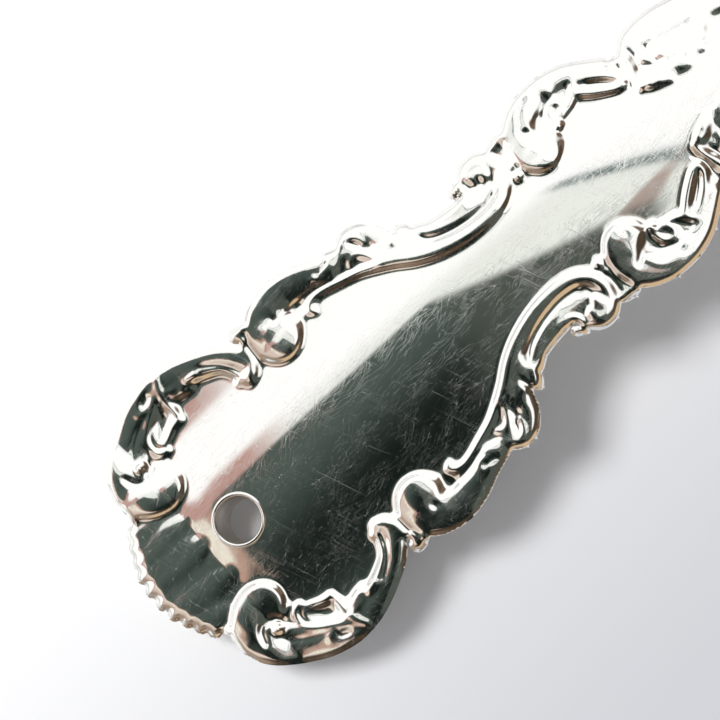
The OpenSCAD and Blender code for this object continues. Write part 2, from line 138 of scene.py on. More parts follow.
# Ornament on one side of the handle. Each point is (along, across, half width, rise), in millimetres.
SIDE_RIDGES: tuple[Stroke, ...] = (
    # C-scroll beside the ribbon hole: plump head, body and inner end
    ((3.9, 5.35, 1.45, 0.8), (4.5, 4.95, 1.58, 0.9), (5.2, 4.7, 1.6, 0.91), (5.6, 4.7, 1.5, 0.85)),
    ((3.7, 5.9, 1.3, 0.7), (4.3, 6.9, 1.4, 0.7), (5.2, 7.75, 1.35, 0.68), (6.2, 8.5, 1.25, 0.62),
     (7.4, 9.2, 1.15, 0.59), (9.0, 9.7, 1.0, 0.59), (10.8, 9.55, 0.95, 0.59), (12.6, 8.85, 0.95, 0.62),
     (14.0, 8.1, 0.9, 0.62), (14.95, 7.2, 0.75, 0.59), (15.0, 6.3, 0.6, 0.53), (14.5, 5.95, 0.5, 0.46)),
    ((5.2, 6.55, 0.38, 0.74), (5.25, 6.6, 0.38, 0.74)),
    ((7.4, 6.2, 0.2, 0.37), (6.7, 6.55, 0.24, 0.5), (6.6, 7.3, 0.26, 0.56), (7.2, 8.1, 0.26, 0.59),
     (8.1, 8.65, 0.26, 0.59), (9.0, 8.95, 0.22, 0.53)),
    ((7.55, 6.6, 0.16, 0.31), (7.1, 7.0, 0.17, 0.37), (7.2, 7.6, 0.18, 0.4), (7.95, 8.3, 0.17, 0.4),
     (8.9, 8.6, 0.15, 0.37)),
    ((7.8, 6.8, 0.3, 0.31), (8.5, 7.15, 0.35, 0.37), (9.3, 7.2, 0.3, 0.34)),
    ((9.35, 7.65, 0.3, 0.46), (9.3, 8.55, 0.4, 0.59), (9.5, 9.4, 0.38, 0.65), (9.9, 10.15, 0.3, 0.59)),
    ((7.3, 9.25, 0.28, 0.62), (8.1, 8.95, 0.3, 0.68), (9.0, 9.4, 0.3, 0.69), (9.8, 10.1, 0.25, 0.62)),
    ((7.8, 9.8, 0.2, 0.56), (8.6, 10.2, 0.22, 0.56), (9.3, 10.4, 0.2, 0.5)),
    ((9.9, 8.75, 0.5, 0.5), (10.5, 8.55, 0.55, 0.56), (11.2, 8.25, 0.35, 0.43)),
    ((11.3, 8.6, 0.4, 0.5), (12.0, 8.55, 0.4, 0.53)),
    ((11.9, 8.7, 0.2, 0.53), (12.9, 8.2, 0.22, 0.56), (13.7, 7.35, 0.22, 0.56), (14.1, 6.6, 0.2, 0.5)),
    ((14.0, 6.3, 0.35, 0.37), (14.8, 6.1, 0.45, 0.53), (15.4, 6.7, 0.4, 0.56), (15.55, 7.6, 0.35, 0.53)),
    # S-scroll at the middle of the panel, with the leaves that grow from its tail
    ((18.6, 6.5, 1.0, 0.62), (17.7, 6.55, 1.6, 0.91), (17.4, 7.3, 1.45, 0.8), (17.9, 8.1, 1.3, 0.71),
     (19.3, 8.6, 1.15, 0.65), (20.8, 8.45, 1.05, 0.62), (22.3, 8.0, 0.9, 0.59), (23.7, 7.75, 0.7, 0.53),
     (24.9, 7.5, 0.6, 0.46)),
    ((21.8, 7.9, 0.2, 0.34), (22.25, 7.4, 0.28, 0.46), (22.95, 7.15, 0.33, 0.53), (23.6, 7.45, 0.33, 0.53),
     (24.2, 7.65, 0.28, 0.5), (24.7, 7.5, 0.2, 0.4)),
    ((24.3, 6.75, 0.2, 0.37), (24.65, 7.05, 0.32, 0.53), (25.2, 6.95, 0.38, 0.59), (25.65, 6.35, 0.33, 0.59),
     (25.95, 5.65, 0.22, 0.5)),
    ((24.7, 8.1, 0.25, 0.5), (25.3, 8.2, 0.28, 0.56), (25.8, 7.8, 0.28, 0.59), (26.0, 7.2, 0.2, 0.53)),
    ((24.4, 7.9, 0.4, 0.37), (25.1, 8.2, 0.55, 0.43), (26.0, 8.05, 0.6, 0.46), (26.7, 7.3, 0.65, 0.5),
     (27.0, 6.3, 0.75, 0.53), (27.4, 6.0, 0.5, 0.5)),
    ((28.2, 6.3, 0.36, 0.4), (28.5, 5.95, 0.38, 0.5), (28.65, 5.45, 0.35, 0.56)),
    # Long scroll from the panel's side to the end volute
    ((20.7, 6.15, 0.2, 0.28), (20.4, 6.45, 0.24, 0.34), (20.9, 6.85, 0.26, 0.4), (21.8, 6.85, 0.28, 0.43),
     (23.2, 6.45, 0.31, 0.46), (24.4, 6.1, 0.36, 0.5), (25.6, 5.6, 0.48, 0.56), (26.8, 5.1, 0.68, 0.62),
     (28.0, 4.3, 0.72, 0.66), (29.3, 3.6, 0.66, 0.66), (31.0, 3.05, 0.6, 0.66), (32.8, 2.85, 0.56, 0.66),
     (34.2, 3.02, 0.54, 0.64), (35.1, 3.6, 0.54, 0.62), (35.55, 4.5, 0.54, 0.62), (35.4, 5.4, 0.55, 0.62),
     (34.8, 6.05, 0.55, 0.59), (34.0, 6.2, 0.5, 0.56), (33.4, 5.9, 0.4, 0.53)),
    ((26.2, 6.1, 0.6, 0.46), (27.0, 5.7, 0.9, 0.53), (27.8, 5.2, 0.85, 0.56), (28.5, 4.7, 0.6, 0.56)),
    ((28.5, 5.7, 0.4, 0.4), (29.3, 5.0, 0.6, 0.46), (30.4, 4.6, 0.72, 0.46), (31.8, 4.4, 0.75, 0.43),
     (33.2, 4.4, 0.65, 0.37), (34.2, 4.5, 0.45, 0.31)),
    ((29.1, 5.65, 0.22, 0.45), (30.0, 5.1, 0.24, 0.5), (31.0, 4.8, 0.24, 0.52), (32.0, 4.6, 0.25, 0.55),
     (32.7, 4.8, 0.25, 0.56), (33.0, 5.4, 0.24, 0.55), (32.7, 5.9, 0.2, 0.48)),
    bead(32.3, 5.55, 0.33, 0.56),
    ((33.9, 5.6, 0.7, 0.56), (34.35, 5.5, 0.9, 0.65), (34.6, 5.2, 0.7, 0.59)),
    # Scroll at the neck with its small leaves, then the loop above it
    ((39.0, 3.5, 0.9, 0.56), (38.2, 3.65, 1.4, 0.74), (37.7, 4.6, 1.2, 0.71), (38.0, 5.6, 1.1, 0.68),
     (39.2, 6.3, 1.0, 0.62), (40.8, 6.55, 0.85, 0.59), (42.3, 6.3, 0.75, 0.56), (43.5, 5.7, 0.65, 0.53),
     (44.6, 5.0, 0.6, 0.53)),
    ((38.75, 5.35, 0.24, 0.62), (39.05, 6.0, 0.24, 0.65), (39.8, 6.5, 0.24, 0.65), (41.0, 6.8, 0.2, 0.59)),
    ((40.0, 4.4, 0.17, 0.46), (40.25, 5.15, 0.18, 0.53), (40.8, 5.4, 0.18, 0.53), (41.15, 5.1, 0.18, 0.53),
     (40.95, 4.6, 0.17, 0.5), (40.3, 4.35, 0.15, 0.43)),
    ((40.2, 6.15, 0.2, 0.46), (41.0, 6.15, 0.3, 0.59), (41.8, 6.5, 0.25, 0.59), (42.2, 6.8, 0.18, 0.46)),
    bead(40.2, 4.0, 0.3, 0.5),
    ((40.8, 4.3, 0.18, 0.43), (41.8, 4.6, 0.28, 0.53), (42.4, 5.2, 0.3, 0.56), (42.9, 5.9, 0.25, 0.56)),
    ((42.6, 5.35, 0.25, 0.5), (42.35, 4.95, 0.28, 0.55), (42.75, 4.4, 0.3, 0.56), (43.6, 3.75, 0.32, 0.56),
     (44.5, 3.2, 0.3, 0.56), (45.0, 3.15, 0.3, 0.56), (45.0, 3.6, 0.32, 0.58), (44.4, 4.35, 0.34, 0.58),
     (43.5, 5.05, 0.32, 0.56), (42.9, 5.4, 0.28, 0.52)),
    # Leaf cluster between the neck and the shank
    ((46.15, 4.3, 0.5, 0.5), (45.95, 3.6, 0.42, 0.52), (45.7, 2.8, 0.28, 0.48), (45.5, 2.1, 0.15, 0.35)),
    ((45.75, 2.15, 0.3, 0.36), (46.4, 2.0, 0.55, 0.46), (47.0, 1.7, 0.45, 0.42), (47.4, 1.35, 0.2, 0.28)),
    ((47.0, 3.9, 0.25, 0.5), (46.9, 3.4, 0.25, 0.5), (47.3, 3.0, 0.22, 0.46)),
    ((47.9, 3.6, 0.4, 0.5), (48.0, 3.0, 0.5, 0.56), (48.2, 2.4, 0.35, 0.5)),
    ((48.1, 2.0, 0.3, 0.42), (48.5, 1.6, 0.38, 0.46), (48.9, 1.2, 0.2, 0.3)),
    ((48.9, 2.6, 0.45, 0.55), (49.2, 2.1, 0.5, 0.56), (49.3, 1.6, 0.3, 0.45)),
    ((49.7, 2.1, 0.35, 0.5), (50.0, 1.7, 0.4, 0.5), (50.4, 1.4, 0.2, 0.35)),
    ((49.7, 3.0, 0.28, 0.5), (50.0, 2.7, 0.25, 0.48)),
    ((50.6, 2.2, 0.45, 0.53), (51.0, 2.9, 0.45, 0.55), (51.9, 3.1, 0.5, 0.55), (52.8, 2.7, 0.45, 0.53),
     (53.6, 2.2, 0.3, 0.43)),
    # Scrolls of the shank, towards the ferrule
    ((46.1, 4.4, 0.6, 0.53), (47.2, 4.95, 0.8, 0.5), (49.0, 4.7, 1.05, 0.5), (51.0, 4.2, 1.0, 0.5),
     (53.0, 3.75, 0.7, 0.5), (55.0, 3.4, 0.55, 0.53), (56.8, 3.3, 0.55, 0.56), (58.0, 3.8, 0.55, 0.56),
     (58.0, 4.7, 0.55, 0.53), (57.1, 5.0, 0.45, 0.5)),
    bead(57.3, 4.35, 0.45, 0.56),
    ((61.5, 3.3, 0.7, 0.5), (60.8, 3.4, 1.0, 0.62), (60.5, 4.2, 0.9, 0.59), (61.3, 4.8, 0.75, 0.56),
     (62.8, 4.8, 0.6, 0.53), (64.6, 4.4, 0.55, 0.5), (66.6, 3.9, 0.5, 0.43), (68.6, 3.6, 0.4, 0.31)),
    ((62.6, 3.9, 0.2, 0.31), (64.2, 3.6, 0.25, 0.37), (66.0, 3.1, 0.2, 0.31), (67.4, 2.8, 0.15, 0.22)),
    # Beads in the gaps between the scrolls
    ((15.7, 8.6, 0.52, 0.46), (15.9, 8.5, 0.6, 0.43)),
    ((15.85, 8.0, 0.3, 0.46), (15.9, 7.9, 0.28, 0.43)),
    bead(16.35, 8.6, 0.3, 0.37),
    ((36.2, 3.4, 0.36, 0.43), (36.25, 3.45, 0.36, 0.43)),
    ((36.3, 4.1, 0.26, 0.34), (36.35, 4.15, 0.26, 0.34)),
    ((36.35, 4.3, 0.14, 0.31), (36.4, 5.5, 0.14, 0.31)),
    ((35.9, 6.0, 0.3, 0.37), (36.5, 6.0, 0.44, 0.43), (36.9, 6.1, 0.3, 0.37)),
    bead(59.3, 3.5, 0.42, 0.4),
    bead(59.3, 4.5, 0.36, 0.34),
    # Scalloped rim of the shell at the tip, on one even band
    ((0.7, 0.0, 0.45, 0.12), (0.75, 0.5, 0.45, 0.12), (0.9, 1.4, 0.45, 0.12), (1.25, 2.2, 0.45, 0.12),
     (1.7, 3.0, 0.48, 0.12), (2.2, 3.8, 0.48, 0.12)),
    bead(0.45, 0.5, 0.45, 0.12),
    bead(0.6, 1.4, 0.45, 0.12),
    bead(1.0, 2.2, 0.45, 0.12),
    bead(1.45, 3.0, 0.5, 0.12),
    bead(1.95, 3.8, 0.5, 0.12),
)
# Channels and pits on the same side, written as the ridges are, with a depth in place of the rise
SIDE_GROOVES: tuple[Stroke, ...] = (
    ((4.0, 6.75, 0.22, 0.21), (4.3, 6.0, 0.28, 0.27), (4.9, 5.7, 0.3, 0.3), (5.6, 5.95, 0.28, 0.27),
     (5.75, 6.5, 0.2, 0.18)),
    ((5.0, 7.2, 0.16, 0.08), (5.9, 8.0, 0.18, 0.11), (7.0, 8.6, 0.18, 0.11), (8.2, 9.0, 0.15, 0.08)),
    ((7.9, 7.3, 0.5, 0.15), (8.6, 7.9, 0.5, 0.15)),
    ((8.1, 9.55, 0.3, 0.21), (8.6, 9.75, 0.25, 0.18)),
    ((12.6, 8.75, 0.16, 0.15), (13.6, 8.0, 0.2, 0.18), (14.3, 7.1, 0.18, 0.15)),
    ((20.0, 7.2, 0.25, 0.1), (19.5, 7.4, 0.22, 0.08)),
    bead(18.2, 7.55, 0.24, 0.22),
    ((19.9, 7.3, 0.35, 0.09), (21.2, 7.4, 0.4, 0.12), (22.6, 7.25, 0.3, 0.09)),
    ((22.3, 7.85, 0.15, 0.21), (23.3, 8.0, 0.15, 0.21)),
    ((25.3, 7.75, 0.22, 0.24), (25.6, 7.4, 0.18, 0.18)),
    ((27.85, 6.5, 0.12, 0.24), (27.75, 5.9, 0.14, 0.24), (27.7, 5.4, 0.1, 0.15)),
    ((21.6, 7.15, 0.15, 0.11), (23.2, 6.85, 0.15, 0.12), (24.7, 6.3, 0.15, 0.12), (25.7, 5.65, 0.12, 0.09)),
    ((28.9, 4.85, 0.2, 0.2), (29.8, 4.2, 0.22, 0.3), (31.2, 3.72, 0.22, 0.3), (32.8, 3.5, 0.22, 0.25),
     (34.2, 3.65, 0.2, 0.2)),
    bead(34.1, 4.95, 0.25, 0.24),
    ((39.6, 4.0, 0.12, 0.15), (39.0, 4.4, 0.2, 0.24), (38.5, 4.95, 0.24, 0.27), (38.2, 5.15, 0.24, 0.27)),
    ((39.6, 5.3, 0.45, 0.15), (40.6, 6.0, 0.45, 0.15)),
    ((43.2, 4.75, 0.25, 0.25), (44.0, 4.15, 0.28, 0.3), (44.5, 3.7, 0.22, 0.25)),
    ((45.35, 4.2, 0.14, 0.28), (45.4, 3.4, 0.14, 0.28), (45.2, 2.6, 0.12, 0.2)),
    ((46.5, 4.6, 0.14, 0.3), (46.45, 3.8, 0.14, 0.3), (46.2, 2.9, 0.12, 0.25)),
    ((47.45, 3.9, 0.14, 0.3), (47.4, 3.2, 0.14, 0.3), (47.6, 2.5, 0.12, 0.25)),
    ((48.55, 3.3, 0.14, 0.3), (48.6, 2.7, 0.14, 0.3), (48.45, 2.1, 0.12, 0.25)),
    ((49.5, 2.9, 0.14, 0.28), (49.65, 2.2, 0.14, 0.28), (49.7, 1.6, 0.12, 0.2)),
    ((50.3, 3.2, 0.14, 0.28), (50.4, 2.5, 0.14, 0.28), (50.6, 1.8, 0.12, 0.2)),
    ((57.6, 4.2, 0.12, 0.12), (57.2, 4.75, 0.14, 0.12)),
    ((61.6, 3.9, 0.16, 0.18), (61.2, 4.1, 0.2, 0.21)),
)
# Lobes of the shell at the tip, drawn once because they are not quite even
FAN_LOBES: tuple[Stroke, ...] = (
    ((1.2, -0.6, 0.8, 0.11), (2.4, -0.65, 1.05, 0.11), (3.9, -0.6, 1.05, 0.11), (4.8, -0.55, 0.8, 0.11)),
    ((1.2, 1.4, 0.7, 0.11), (2.4, 1.6, 0.95, 0.11), (3.9, 1.75, 0.95, 0.11), (5.0, 1.85, 0.7, 0.11)),
    ((1.8, 3.0, 0.6, 0.11), (2.7, 3.25, 0.7, 0.11), (3.4, 3.35, 0.6, 0.11)),
    ((1.2, -2.3, 0.6, 0.11), (2.4, -2.5, 0.8, 0.11), (3.9, -2.55, 0.75, 0.11), (4.9, -2.45, 0.6, 0.11)),
    ((1.8, -3.5, 0.5, 0.11), (2.6, -3.75, 0.6, 0.11), (3.3, -3.8, 0.5, 0.11)),
)
# Half width of the smooth body under the border, as (along, half width)
BODY_EDGE: Profile = [
    (0.6, 1.6), (1.2, 3.0), (2.2, 4.2), (3.2, 5.8), (4.6, 7.2), (6.2, 8.4), (8.0, 9.3), (10.0, 9.5),
    (12.0, 9.0), (14.0, 8.1), (15.6, 7.9), (17.2, 8.0), (19.2, 8.6), (21.0, 8.3), (23.0, 7.7), (25.0, 7.6),
    (26.4, 7.0), (27.6, 6.1), (28.4, 5.7), (29.4, 4.9), (31.5, 4.4), (33.5, 5.3), (35.2, 5.5), (36.6, 5.7),
    (38.0, 5.9), (40.0, 6.4), (42.0, 6.2), (43.6, 5.6), (45.0, 5.0), (46.6, 4.9), (48.5, 5.0), (51.0, 4.5),
    (54.0, 3.9), (57.0, 4.2), (59.4, 4.7), (61.0, 4.6), (63.0, 4.6), (66.0, 4.0), (69.0, 3.8), (72.0, 3.8),
]
# Radius of the panel's crown across, as (along, millimetres)
CROWN_RADIUS: Profile = [
    (0.0, 30.0), (20.0, 30.0), (27.0, 26.0), (34.0, 20.0), (41.0, 15.0), (50.0, 11.0), (72.0, 9.0),
]
# How far the crown falls before it runs out level under the border, as (along, millimetres)
CROWN_FALL: Profile = [(0.0, 0.7), (20.0, 0.72), (30.0, 0.8), (40.0, 0.95), (60.0, 1.2), (72.0, 1.3)]
# Height of a ridge's dome over its half width, as (half width, share)
DOME_BY_WIDTH: Profile = [
    (0.3, 0.5), (0.48, 0.42), (0.56, 0.27), (0.72, 0.2), (0.95, 0.08), (1.35, 0.06), (1.55, 0.125),
]
# Where the left border starts to lean in, as (along, across), and how much of the lean it gets, as (along, share)
LEAN_FROM: Profile = [
    (0.0, 5.0), (5.0, 6.4), (7.0, 7.9), (9.0, 8.6), (11.0, 8.5), (13.0, 7.9), (14.5, 7.1), (16.0, 6.8),
    (20.0, 7.2), (27.0, 6.4), (34.0, 5.0), (37.0, 3.6), (45.0, 3.6),
]
LEAN_SHARE: Profile = [(22.0, 1.0), (27.0, 0.0), (34.0, 0.0), (37.0, 0.8), (44.0, 0.8), (48.0, 0.0)]


@dataclass(frozen=True)
class HandleFrame:
    """Places handle coordinates in the row frame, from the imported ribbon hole."""

    hole: Vector
    pitch: float

    @classmethod
    def from_record(cls, record: dict) -> "HandleFrame":
        """Reads the frame from the record's ribbon hole.

        Args:
            record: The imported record.

        Returns:
            The frame of the handle.
        """
        mount = next(m for m in record["mounts"] if m["name"] == "ribbon_hole")
        axis = mount["axis"]
        return cls(Vector(mount["pos_m"]), math.atan2(-axis[0], axis[2]))

    def place(self, points: np.ndarray) -> np.ndarray:
        """Moves points from handle coordinates to the row frame.

        Args:
            points: Rows of x, y and z in millimetres.

        Returns:
            Rows of x, y and z in metres.
        """
        c, s = math.cos(self.pitch), math.sin(self.pitch)
        turn = np.array([[c, 0.0, -s], [0.0, 1.0, 0.0], [s, 0.0, c]])
        local = np.asarray(points, float) - np.array([HOLE_FROM_TIP, 0.0, 0.0])
        return local @ turn.T * MM + np.array(self.hole)


@dataclass(frozen=True)
class SilverFinish:
    """Polished silver: mirror gloss, fine hairlines, soft handling marks and a breath of tarnish in the hollows, which
    the eyelet's finish deepens into painted shade inside its bore.
    """

    name: str
    colour: Colour
    roughness: float = 0.035
    cloudiness: float = 1.4
    clouds_per_mm: float = 0.35
    hairline_depth_mm: float = 0.0004
    hairlines_per_mm: float = 4.6
    hairline_turns_deg: tuple[float, ...] = (2.0, 8.0, 15.0, 24.0, 41.0, 112.0, 171.0)
    hairline_dullness: float = 0.045
    scatter: float = 0.16
    streaks_per_mm: tuple[float, float, float] = (0.2, 7.0, 7.0)
    streak_turn_deg: float = 8.0
    streak_dullness: float = 0.02
    tarnish_and_shade: float = 0.35
    tarnish_and_shade_colour: Colour = (0.34, 0.27, 0.2)
    recess_dullness: float = 0.3

    def material(self) -> bpy.types.Material:
        """Builds the node material."""
        mat, tree, shader = NodeBench.principled(self.name)
        in_mm = tree.in_mm()
        lines = tree.hairlines(in_mm, self.hairlines_per_mm, self.hairline_turns_deg)
        tree.link(tree.map_range(lines, 0.2, 1.0, 1.0, 1 - self.scatter), shader.inputs["Metallic"])
        clouds = tree.noise(in_mm, self.clouds_per_mm, 3.0)
        # Darkens the hollows with the tarnish colour; inside the eyelet's bore this darkening is painted shade.
        stain_and_shade = tree.product(tree.map_range(tree.attribute("recess"), 0.15, 0.9, 0.0, self.tarnish_and_shade),
                             tree.map_range(clouds, 0.3, 0.7, 0.6, 1.0))
        tree.link(tree.mix_colour(stain_and_shade, self.colour, self.tarnish_and_shade_colour), shader.inputs["Base Color"])
        streaks = tree.noise(tree.mapping(in_mm, self.streaks_per_mm, self.streak_turn_deg), 1.0, 2.0)
        dull = tree.map_range(clouds, 0.3, 0.75, self.roughness, self.roughness * self.cloudiness)
        for more in (tree.product(lines, self.hairline_dullness),
                     tree.map_range(streaks, 0.5, 0.75, 0.0, self.streak_dullness),
                     tree.product(stain_and_shade, self.recess_dullness)):
            dull = tree.math("ADD", dull, more)
        tree.link(dull, shader.inputs["Roughness"])
        tree.link(tree.bump(lines, self.hairline_depth_mm * MM), shader.inputs["Normal"])
        return mat


@dataclass(frozen=True)
class SteelFinish:
    """Dull steel for the tang and the shot."""

    name: str
    colour: Colour
    roughness: float
    grain_per_mm: float
    grain_depth_mm: float = 0.01
    grain_shade: float = 0.6
    grain_dullness: float = 0.15

    def material(self) -> bpy.types.Material:
        """Builds the node material."""
        mat, tree, shader = NodeBench.principled(self.name)
        shader.inputs["Metallic"].default_value = 1.0
        grain = tree.noise(tree.in_mm(), self.grain_per_mm, 4.0)
        dark = tuple(self.grain_shade * c for c in self.colour)
        tree.link(tree.mix_colour(grain, dark, self.colour), shader.inputs["Base Color"])
        tree.link(tree.map_range(grain, 0.3, 0.7, self.roughness, self.roughness + self.grain_dullness),
                  shader.inputs["Roughness"])
        tree.link(tree.bump(grain, self.grain_depth_mm * MM), shader.inputs["Normal"])
        return mat


class NodeBench:
    """Short calls for the few nodes that the finishes and the studio need."""

    def __init__(self, tree: bpy.types.NodeTree) -> None:
        """Keeps the tree's nodes at hand."""
        self.tree = tree
        self.nodes = tree.nodes

    @classmethod
    def principled(cls, name: str) -> tuple[bpy.types.Material, "NodeBench", bpy.types.Node]:
        """Starts a material.

        Args:
            name: Name of the material.

        Returns:
            The material, the bench for its nodes, and its main shader.
        """
        mat = bpy.data.materials.new(name)
        mat.use_nodes = True
        bench = cls(mat.node_tree)
        return mat, bench, bench.nodes["Principled BSDF"]

    def link(self, source: bpy.types.NodeSocket, target: bpy.types.NodeSocket) -> None:
        """Joins two sockets."""
        self.tree.links.new(source, target)

    def feed(self, value: object, target: bpy.types.NodeSocket) -> None:
        """Links a socket to the target, or sets a plain value on it."""
        if isinstance(value, bpy.types.NodeSocket):
            self.link(value, target)
        else:
            target.default_value = value

    def add(self, kind: str, output: str | int, inputs: dict[str | int, object],
            **settings: str) -> bpy.types.NodeSocket:
        """Adds a node.

        Args:
            kind: Type of the node, without the word that all of them start with.
            output: Which of its outputs is wanted.
            inputs: Sockets or plain values, by input.
            settings: The node's own settings.

        Returns:
            The output.
        """
        node = self.nodes.new(f"ShaderNode{kind}")
        for name, setting in settings.items():
            setattr(node, name, setting)
        for name, value in inputs.items():
            self.feed(value, node.inputs[name])
        return node.outputs[output]

    def coords(self, kind: str = "Object") -> bpy.types.NodeSocket:
        """Coordinates of the piece in metres, or others by their name."""
        return self.add("TexCoord", kind, {})

    def in_mm(self) -> bpy.types.NodeSocket:
        """Object coordinates of the piece, in millimetres."""
        return self.mapping(self.coords(), (1 / MM,) * 3)

    def axis(self, vector: bpy.types.NodeSocket, name: str) -> bpy.types.NodeSocket:
        """X, Y or Z of a vector."""
        return self.add("SeparateXYZ", name, {0: vector})

    def mapping(self, vector: bpy.types.NodeSocket, scale: Sequence[float],
                turn_deg: float = 0.0) -> bpy.types.NodeSocket:
        """Scales coordinates after a turn about Z.

        Args:
            vector: Coordinates.
            scale: Factors along X, Y and Z.
            turn_deg: Turn about Z.

        Returns:
            The mapped coordinates.
        """
        inputs = {"Vector": vector, "Rotation": (0.0, 0.0, math.radians(turn_deg)),
                  "Scale": [1 / s for s in scale] if turn_deg else list(scale)}
        return self.add("Mapping", "Vector", inputs, vector_type="TEXTURE" if turn_deg else "POINT")

    def noise(self, vector: bpy.types.NodeSocket, scale: float, detail: float) -> bpy.types.NodeSocket:
        """Noise from 0 to 1, mostly near 0.5."""
        return self.add("TexNoise", "Fac", {"Vector": vector, "Scale": scale, "Detail": detail})

    def attribute(self, name: str) -> bpy.types.NodeSocket:
        """A named attribute of the piece, 0 where it has none."""
        return self.add("Attribute", "Fac", {}, attribute_name=name)

    def math(self, operation: str, a: object, b: object) -> bpy.types.NodeSocket:
        """One step of arithmetic on sockets or numbers."""
        return self.add("Math", "Value", {0: a, 1: b}, operation=operation)

    def product(self, a: object, b: object) -> bpy.types.NodeSocket:
        """Two values multiplied."""
        return self.math("MULTIPLY", a, b)

    def weighed(self, *terms: tuple[bpy.types.NodeSocket, float, float]) -> bpy.types.NodeSocket:
        """Sum of two values, each given with its shift and its share."""
        return self.math("ADD", *(self.product(self.math("ADD", value, shift), share) for value, shift, share in terms))

    def map_range(self, value: bpy.types.NodeSocket, from_low: float, from_high: float, to_low: float,
                  to_high: float) -> bpy.types.NodeSocket:
        """Maps a value smoothly from one range to another, held at the ends."""
        inputs = {"Value": value, "From Min": from_low, "From Max": from_high, "To Min": to_low, "To Max": to_high}
        return self.add("MapRange", "Result", inputs, interpolation_type="SMOOTHSTEP")

    def above(self, value: bpy.types.NodeSocket, low: float, high: float) -> bpy.types.NodeSocket:
        """0 below a range and 1 above it."""
        return self.map_range(value, low, high, 0.0, 1.0)

    def below(self, value: bpy.types.NodeSocket, low: float, high: float) -> bpy.types.NodeSocket:
        """1 below a range and 0 above it."""
        return self.map_range(value, low, high, 1.0, 0.0)

    def mix_colour(self, factor: object, a: object, b: object) -> bpy.types.NodeSocket:
        """Blends two colours, each a socket or red, green and blue, by a factor."""
        a, b = ((*c, 1.0) if isinstance(c, tuple) else c for c in (a, b))
        return self.add("Mix", MIX_RESULT, {MIX_FACTOR: factor, MIX_A: a, MIX_B: b}, data_type="RGBA")

    def bump(self, height: bpy.types.NodeSocket, distance: float) -> bpy.types.NodeSocket:
        """Normal bent by a height pattern of that depth in metres."""
        return self.add("Bump", "Normal", {"Distance": distance, "Height": height})

    def hairlines(self, in_mm: bpy.types.NodeSocket, per_mm: float,
                  turns_deg: Iterable[float]) -> bpy.types.NodeSocket:
        """Sparse scratches in several directions.

        Args:
            in_mm: Coordinates in millimetres.
            per_mm: How many streaks fit in a millimetre across.
            turns_deg: Directions of the scratches.

        Returns:
            0 on clean metal, 1 on a scratch.
        """
        along_per_mm, break_scale, break_turn_deg = 0.018, (0.25, 0.9, 0.9), 7.0
        found = None
        for turn in turns_deg:
            wander = self.noise(self.mapping(in_mm, (along_per_mm, per_mm, per_mm), turn), 1.0, 0.0)
            off = self.math("ABSOLUTE", self.math("SUBTRACT", wander, 0.5), 0.0)
            broken = self.noise(self.mapping(in_mm, break_scale, turn + break_turn_deg), 1.0, 1.0)
            marks = self.product(self.below(off, 0.002, 0.009), self.above(broken, 0.47, 0.6))
            found = marks if found is None else self.math("MAXIMUM", found, marks)
        return found


def dense(stroke: Stroke, step: float = 0.05) -> np.ndarray:
    """Samples a smooth curve through a stroke's points.

    Args:
        stroke: Points of along, across, half width and rise.
        step: Longest distance between samples.

    Returns:
        Rows of along, across, half width and rise.
    """
    p = np.array(stroke, float)
    ends = np.vstack([2 * p[0] - p[1], p, 2 * p[-1] - p[-2]])
    rows = []
    for i in range(len(p) - 1):
        a, b, c, d = ends[i:i + 4]
        count = max(2, int(math.ceil(np.hypot(*(c - b)[:2]) / step)))
        t = np.linspace(0.0, 1.0, count, endpoint=False)[:, None]
        rows.append(0.5 * (2 * b + (c - a) * t + (2 * a - 5 * b + 4 * c - d) * t**2
                           + (3 * b - a - 3 * c + d) * t**3))
    rows.append(p[-1:])
    samples = np.vstack(rows)
    low, high = p.min(0), p.max(0)
    samples[:, 2:] = np.clip(samples[:, 2:], low[2:], high[2:])
    return samples


def blurred(grid: np.ndarray, passes: int) -> np.ndarray:
    """Softens a grid with a small binomial filter.

    Args:
        grid: Heights.
        passes: How often the filter is run.

    Returns:
        The softened heights.
    """
    out = grid
    for _ in range(passes):
        p = np.pad(out, 1, mode="edge")
        out = (p[:-2, 1:-1] + 2 * p[1:-1, 1:-1] + p[2:, 1:-1]) / 4
        p = np.pad(out, 1, mode="edge")
        out = (p[1:-1, :-2] + 2 * p[1:-1, 1:-1] + p[1:-1, 2:]) / 4
    return out


def closed_gaps(grid: np.ndarray, reach: int) -> np.ndarray:
    """Fills dips that are narrower than a disc.

    Args:
        grid: Heights.
        reach: Radius of the disc in cells.

    Returns:
        The heights with narrow dips filled.
    """
    shifts = [(i, j) for i in range(-reach, reach + 1) for j in range(-reach, reach + 1)
              if i * i + j * j <= reach * reach]
    out = grid
    for better in (np.maximum, np.minimum):
        padded = np.pad(out, reach, mode="edge")
        rows, columns = grid.shape
        out = out.copy()
        for i, j in shifts:
            better(out, padded[reach + i:reach + i + rows, reach + j:reach + j + columns], out=out)
    return out


def ramp(at: np.ndarray, start: float, full: float) -> np.ndarray:
    """Straight rise from 0 at the start to 1 where it is full, held past both; either may be the larger."""
    return np.clip((at - start) / (full - start), 0.0, 1.0)


def s_curve(share: np.ndarray) -> np.ndarray:
    """Eases a rise from 0 to 1 at both of its ends."""
    return share**2 * (3 - 2 * share)


def domed(distance: np.ndarray, radius: float) -> np.ndarray:
    """Rounded cap that is 1 at the middle and 0 from the radius on."""
    return np.clip(1 - (distance / radius) ** 2, 0.0, 1.0)


def near(distance: np.ndarray, width: float) -> np.ndarray:
    """1 on a line, falling off smoothly within about a width of it."""
    return np.exp(-((distance / width) ** 2))


def read_off(line: Profile, at: np.ndarray, before: float | None = None) -> np.ndarray:
    """Reads values from a broken line.

    Args:
        line: Corners of the line.
        at: Places to read.
        before: Value before the first corner, or None to hold the first one.

    Returns:
        The values.
    """
    return np.interp(at, *zip(*line), left=before)


